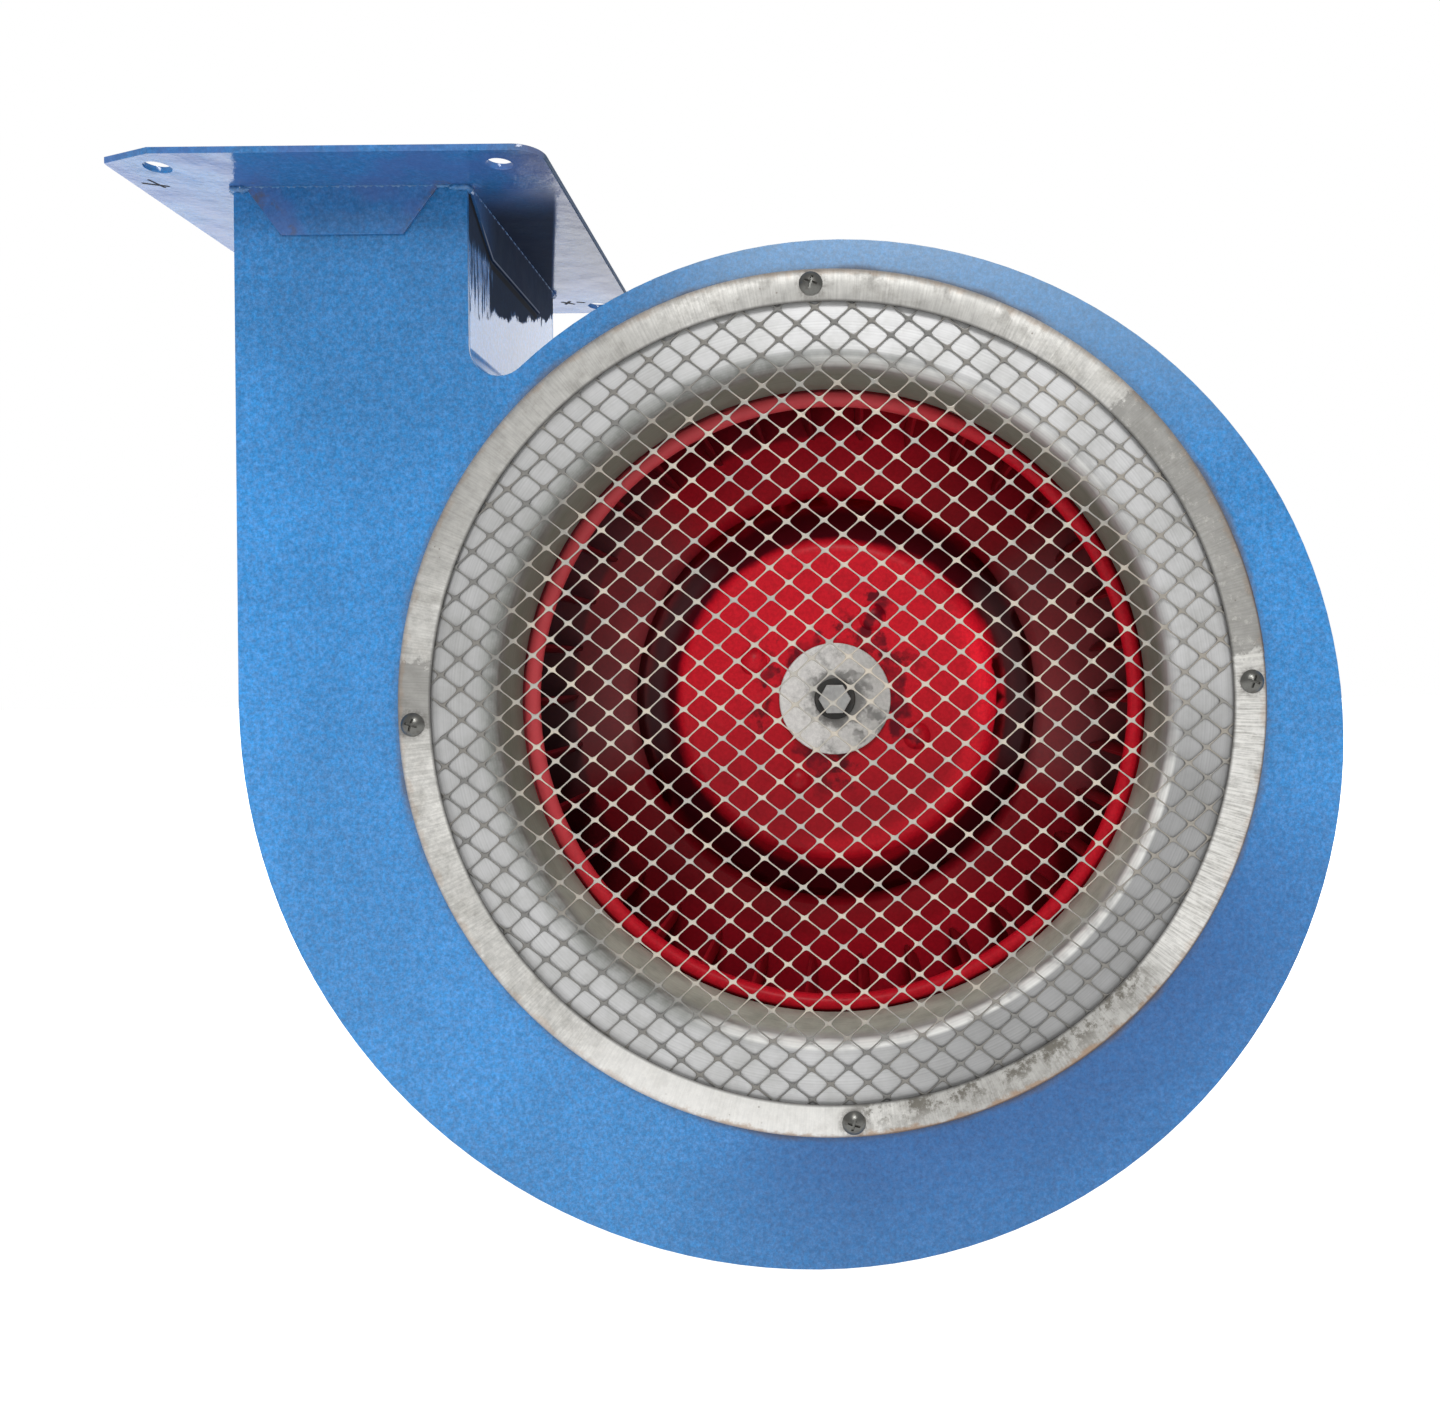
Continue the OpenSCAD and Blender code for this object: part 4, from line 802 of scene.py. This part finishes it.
# Look of every CAD node that stays in view
NODE_LOOKS = {
    "blue_paint": ("back_plate", "scroll_wrap"),
    "flange_paint": ("outlet_flange",),
    "front_paint": ("front_plate",),
    "red_paint": ("impeller_back_disc", "hub_rivets"),
    "red_lip": ("impeller_front_ring",),
    "red_blade": ("impeller_blades",),
    "spun_sheet": ("inlet_cone",),
    "ring_sheet": ("guard_ring",),
    "mesh_steel": ("guard_mesh",),
    "screw_steel": ("guard_screws", "lid_screws", "cowl_screws", "terminal_studs"),
    "washer_steel": ("hub_washer",),
    "bright_steel": (
        "guard_nuts", "motor_shaft", "shaft_key", "motor_bolts", "motor_nuts",
        "bearing_wave_washer", "front_bearing_inner", "front_bearing_outer", "front_bearing_balls",
        "rear_bearing_inner", "rear_bearing_outer", "rear_bearing_balls",
    ),
    "hub_steel": ("hub_bolt",),
    "greasy_steel": ("hub_flat_washer",),
    "dark_steel": ("impeller_hub", "motor_spring_washers", "tie_bolts"),
    "motor_paint": (
        "motor_front_shield", "motor_rear_shield", "motor_housing", "fan_cowl",
        "terminal_box", "terminal_box_lid",
    ),
    "cast_aluminium": ("rotor_end_rings",),
    "laminations": ("rotor_core", "stator_core"),
    "copper_winding": ("stator_windings",),
    "brass": ("front_bearing_cage", "rear_bearing_cage"),
    "black_plastic": ("cooling_fan", "terminal_block", "cable_gland", "gland_nut", "gland_locknut"),
    "black_rubber": ("shaft_seal", "terminal_box_gasket", "gland_seal"),
}

# Width of the rounded edge on CAD nodes, in mm
EDGES = {
    0.5: ("front_plate", "back_plate", "outlet_flange", "impeller_back_disc", "hub_washer",
          "hub_flat_washer", "motor_spring_washers", "fan_cowl", "impeller_hub"),
    0.25: ("scroll_wrap", "impeller_blades", "inlet_cone", "impeller_front_ring", "motor_shaft"),
    0.8: ("hub_bolt", "motor_bolts", "motor_nuts", "motor_front_shield", "motor_rear_shield",
          "motor_housing", "cable_gland", "gland_nut", "gland_locknut", "cooling_fan"),
    1.2: ("terminal_box", "terminal_box_lid"),
}


def dress_nodes():
    """Gives every CAD node its look, and rounds the edges of those in EDGES."""
    for look, names in NODE_LOOKS.items():
        for name in names:
            slots = NODES[name].data.materials
            slots.clear()
            slots.append(LOOKS[look])
    for width, names in EDGES.items():
        for name in names:
            weld = NODES[name].modifiers.new("weld", "WELD")
            weld.merge_threshold = 0.002 * MM
            flat = NODES[name].modifiers.new("flat_faces", "DECIMATE")
            flat.decimate_type = "DISSOLVE"
            flat.angle_limit = math.radians(0.2)
            bevel = NODES[name].modifiers.new("edges", "BEVEL")
            bevel.width = width * MM
            bevel.segments = 2
            bevel.limit_method = "ANGLE"
            bevel.angle_limit = math.radians(32)
            bevel.harden_normals = True


# ------------------------------------------------------------------ pieces

def add_piece(name, mesh, look, body, replaces=()):
    """Puts a mesh in the scene as a piece that rides a body, in place of the CAD nodes it replaces."""
    piece = bpy.data.objects.new(name, mesh)
    bpy.context.scene.collection.objects.link(piece)
    mesh.materials.append(LOOKS[look])
    for face in mesh.polygons:
        face.use_smooth = True
    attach(piece, body)
    if replaces:
        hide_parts(*replaces)
    return piece


def lathe(name, profile, angles, shift=lambda radius, angle: 0.0):
    """Closed ring swept round the fan axis from (radius, depth) points in mm; shift adds depth."""
    mesh = bpy.data.meshes.new(name)
    build = bmesh.new()
    rows = []
    for angle in angles:
        turn = math.radians(angle)
        rows.append([
            build.verts.new(fan(r * math.cos(turn), -r * math.sin(turn), d + shift(r, angle)))
            for r, d in profile
        ])
    for here, there in zip(rows, rows[1:] + rows[:1]):
        for k in range(len(profile)):
            m = (k + 1) % len(profile)
            build.faces.new((here[k], there[k], there[m], here[m]))
    bmesh.ops.remove_doubles(build, verts=build.verts, dist=0.001 * MM)
    bmesh.ops.dissolve_degenerate(build, edges=build.edges, dist=0.001 * MM)
    bmesh.ops.recalc_face_normals(build, faces=build.faces)
    for edge in build.edges:
        edge.smooth = edge.calc_face_angle(0.0) < math.radians(35)
    build.to_mesh(mesh)
    build.free()
    return mesh


def guard_ring():
    """Rolled clamp ring: crowned face, rounded outer lip, lapped joint by the right screw."""
    out = RING_OUTER / MM
    profile = [
        (160.5, -3.03), (160.5, -3.78), (161.2, -4.02), (163.2, -4.26), (165.6, -4.42), (168.2, -4.50),
        (out - 3.6, -4.40), (out - 1.8, -4.02), (out - 0.6, -3.30), (out - 0.1, -2.40), (out, -1.50),
        (out, -0.04), (out - 1.3, -0.04), (out - 1.3, -1.80), (out - 1.9, -2.70), (out - 3.0, -3.03),
    ]
    joint = 6.0
    steps = 480
    angles = [joint + 360.0 * k / (steps - 1) for k in range(steps)]
    waves = [(3, 0.10, 0.4), (7, 0.07, 2.1), (16, 0.04, 0.9)]

    def shift(radius, angle):
        if radius > out - 0.05 or abs(radius - out + 1.3) < 0.05:
            return 0.0
        turn = math.radians(angle)
        wave = sum(size * math.sin(count * turn + start) for count, size, start in waves)
        lap = 0.42 * max(0.0, 1.0 - (angle - joint) / 14.0)
        dents = 0.0
        for k in range(4):
            screw = math.radians(90 * k - SCREW_TURN)
            off = math.hypot(radius * math.cos(turn) - SCREW_CIRCLE / MM * math.cos(screw),
                             radius * math.sin(turn) - SCREW_CIRCLE / MM * math.sin(screw))
            dents += 0.22 * math.exp(-(off / 6.5) ** 2)
        return 0.5 * wave - lap + dents

    mesh = lathe("guard_ring_sheet", profile, angles, shift)
    add_piece("guard_clamp_ring", mesh, "ring_sheet", "casing", ["guard_ring"])


def walk(path, closed, step):
    """Points about every step along a path, each with the distance travelled so far, in metres."""
    points, travel = [], 0.0
    for a, b in zip(path, path[1:] + path[:1] if closed else path[1:]):
        count = max(1, int((b - a).length / step))
        for k in range(count):
            points.append((a.lerp(b, k / count), travel + (b - a).length * k / count))
        travel += (b - a).length
    if not closed:
        points.append((path[-1], travel))
    return points


def bead(name, path, radius, look, body, closed=True, ripple=0.25, pitch=2.2):
    """Weld bead along a path in metres: an uneven rod with one ripple per pitch; radius and pitch in mm."""
    sides = 8
    points = walk(path, closed, pitch * MM / 4)
    mesh = bpy.data.meshes.new(name)
    build = bmesh.new()
    rows = []
    last = len(points) - 1
    for k, (at, along) in enumerate(points):
        before = points[(k - 1) % len(points)][0] if closed or k > 0 else at
        after = points[(k + 1) % len(points)][0] if closed or k < last else at
        way = (after - before).normalized()
        steep = abs(way.z) > 0.9
        side = (way.orthogonal() if steep else way.cross(Vector((0, 0, 1)))).normalized()
        up = side.cross(way)
        phase = along / (pitch * MM)
        size = radius * MM * (1 - ripple * abs(math.sin(math.pi * phase)) + 0.10 * math.sin(2.3 * phase))
        if not closed:
            size *= min(1.0, 0.35 + 3.0 * min(k, last - k) / max(1, last))
        rows.append([
            build.verts.new(at + size * (math.cos(t) * side + math.sin(t) * up))
            for t in (2 * math.pi * j / sides for j in range(sides))
        ])
    for here, there in zip(rows, rows[1:] + (rows[:1] if closed else [])):
        for j in range(sides):
            m = (j + 1) % sides
            build.faces.new((here[j], here[m], there[m], there[j]))
    if not closed:
        build.faces.new(rows[0])
        build.faces.new(rows[-1])
    bmesh.ops.recalc_face_normals(build, faces=build.faces)
    build.to_mesh(mesh)
    build.free()
    return add_piece(name, mesh, look, body)


def round_rectangle(half_x, half_y, corner, level, steps=6):
    """Points round a rectangle centred on the duct, in mm, at a height in metres."""
    points = []
    for sx, sy, start in ((1, 1, 0), (-1, 1, 90), (-1, -1, 180), (1, -1, 270)):
        for k in range(steps + 1):
            turn = math.radians(start + 90 * k / steps)
            points.append(Vector((
                (sx * (half_x - corner) + corner * math.cos(turn)) * MM,
                (sy * (half_y - corner) + corner * math.sin(turn)) * MM,
                level,
            )))
    return points


def weld_beads():
    """Bead under the flange round the duct, with heavier tacks where the tabs end."""
    flange_sheet = 2.5
    under = FLANGE_HIGH.z - flange_sheet * MM
    half_x, half_y = DUCT_X / MM, DUCT_Y / MM
    path = round_rectangle(half_x + 0.5, half_y + 0.5, 1.5, under - 0.2 * MM)
    bead("flange_weld", path, 1.0, "weld_paint", "casing")
    for sx in (-1, 1):
        for sy in (-1, 1):
            corner = [
                Vector((sx * (half_x - 7) * MM, sy * (half_y + 0.7) * MM, under - 1.0 * MM)),
                Vector((sx * (half_x + 0.2) * MM, sy * (half_y + 0.6) * MM, under - 0.8 * MM)),
                Vector((sx * (half_x + 0.8) * MM, sy * (half_y - 6) * MM, under - 1.0 * MM)),
            ]
            name = "corner_weld_" + ("right" if sx > 0 else "left") + ("_back" if sy > 0 else "_front")
            bead(name, corner, 1.9, "weld_paint", "casing", closed=False, ripple=0.35, pitch=3.0)


def guard_mesh():
    """Expanded metal: bonds joined by slanting strands, cut from one sheet and slightly tilted."""
    long_way, short_way = 14.9, 12.2
    bond_w, bond_h = 1.30, 0.56
    neck = 0.29
    clip_r = 170.0
    turn = math.radians(-2.0)
    rise = 0.34
    middle = -2.25
    sheet = 0.52
    screw_room = 4.2
    screws = [
        Vector((math.cos(a), math.sin(a))) * SCREW_CIRCLE / MM
        for a in (math.radians(SCREW_TURN + 90 * k) for k in range(4))
    ]

    def centre(i, j):
        """Middle of one bond, strayed a little from its even place."""
        wave = 0.22 * math.sin(0.21 * i + 0.8 * math.sin(0.17 * j)) + 0.16 * math.sin(0.33 * j + 1.0)
        at = Vector((i * long_way / 2 + wave, j * short_way / 2 + 0.7 * wave))
        return Matrix.Rotation(turn, 2) @ at

    def kept(i, j):
        at = centre(i, j)
        return at.length < clip_r and all((at - s).length > screw_room for s in screws)

    reach = int(clip_r / short_way * 2) + 2
    bonds = [(i, j) for i in range(-reach, reach + 1) for j in range(-reach, reach + 1)
             if (i + j) % 2 == 0 and kept(i, j)]
    points, faces, corner = [], [], {}

    def add(at, lift):
        points.append(fan(at.x, at.y, middle - lift))
        return len(points) - 1

    spin = Matrix.Rotation(turn, 2)
    for i, j in bonds:
        at = centre(i, j)
        corner[i, j] = {
            "top": add(at + spin @ Vector((0, -bond_h)), rise),
            "foot": add(at + spin @ Vector((0, bond_h)), -rise),
            "right": add(at + spin @ Vector((bond_w, 0)), 0.0),
            "left": add(at + spin @ Vector((-bond_w, 0)), 0.0),
        }
        faces.append([corner[i, j][k] for k in ("left", "foot", "right", "top")])
    for i, j in bonds:
        for down in (-1, 1):
            far = (i + 1, j + down)
            if far not in corner:
                continue
            here, there = corner[i, j], corner[far]
            a, b = centre(i, j), centre(*far)
            along = (b - a).normalized()
            across = Vector((-along.y, along.x)) * neck
            start = (here["foot"], here["right"]) if down > 0 else (here["right"], here["top"])
            end = (there["left"], there["top"]) if down > 0 else (there["foot"], there["left"])
            ring = [start]
            for share in (0.24, 0.5, 0.76):
                mid = a.lerp(b, share)
                ring.append((add(mid + across, -rise * 0.6), add(mid - across, rise * 0.6)))
            ring.append(end)
            for (a0, a1), (b0, b1) in zip(ring, ring[1:]):
                faces.append([a0, b0, b1, a1])
    mesh = bpy.data.meshes.new("guard_mesh_sheet")
    mesh.from_pydata(points, [], faces)
    piece = add_piece("guard_expanded_mesh", mesh, "mesh_steel", "casing", ["guard_mesh"])
    solid = piece.modifiers.new("thickness", "SOLIDIFY")
    solid.thickness = sheet * MM
    solid.offset = 0.0
    round_off = piece.modifiers.new("round", "SUBSURF")
    round_off.levels = round_off.render_levels = 1


make_camera()
make_world()
make_floor()
dress_nodes()
guard_mesh()
guard_ring()
weld_beads()
area_light("key", (0.30, -1.7, 1.05), fan(0, 0, 0), 0.7, 19.0)
area_light("back_key", (-0.9, 2.0, 1.3), fan(0, 0, 150), 0.9, 24.0)
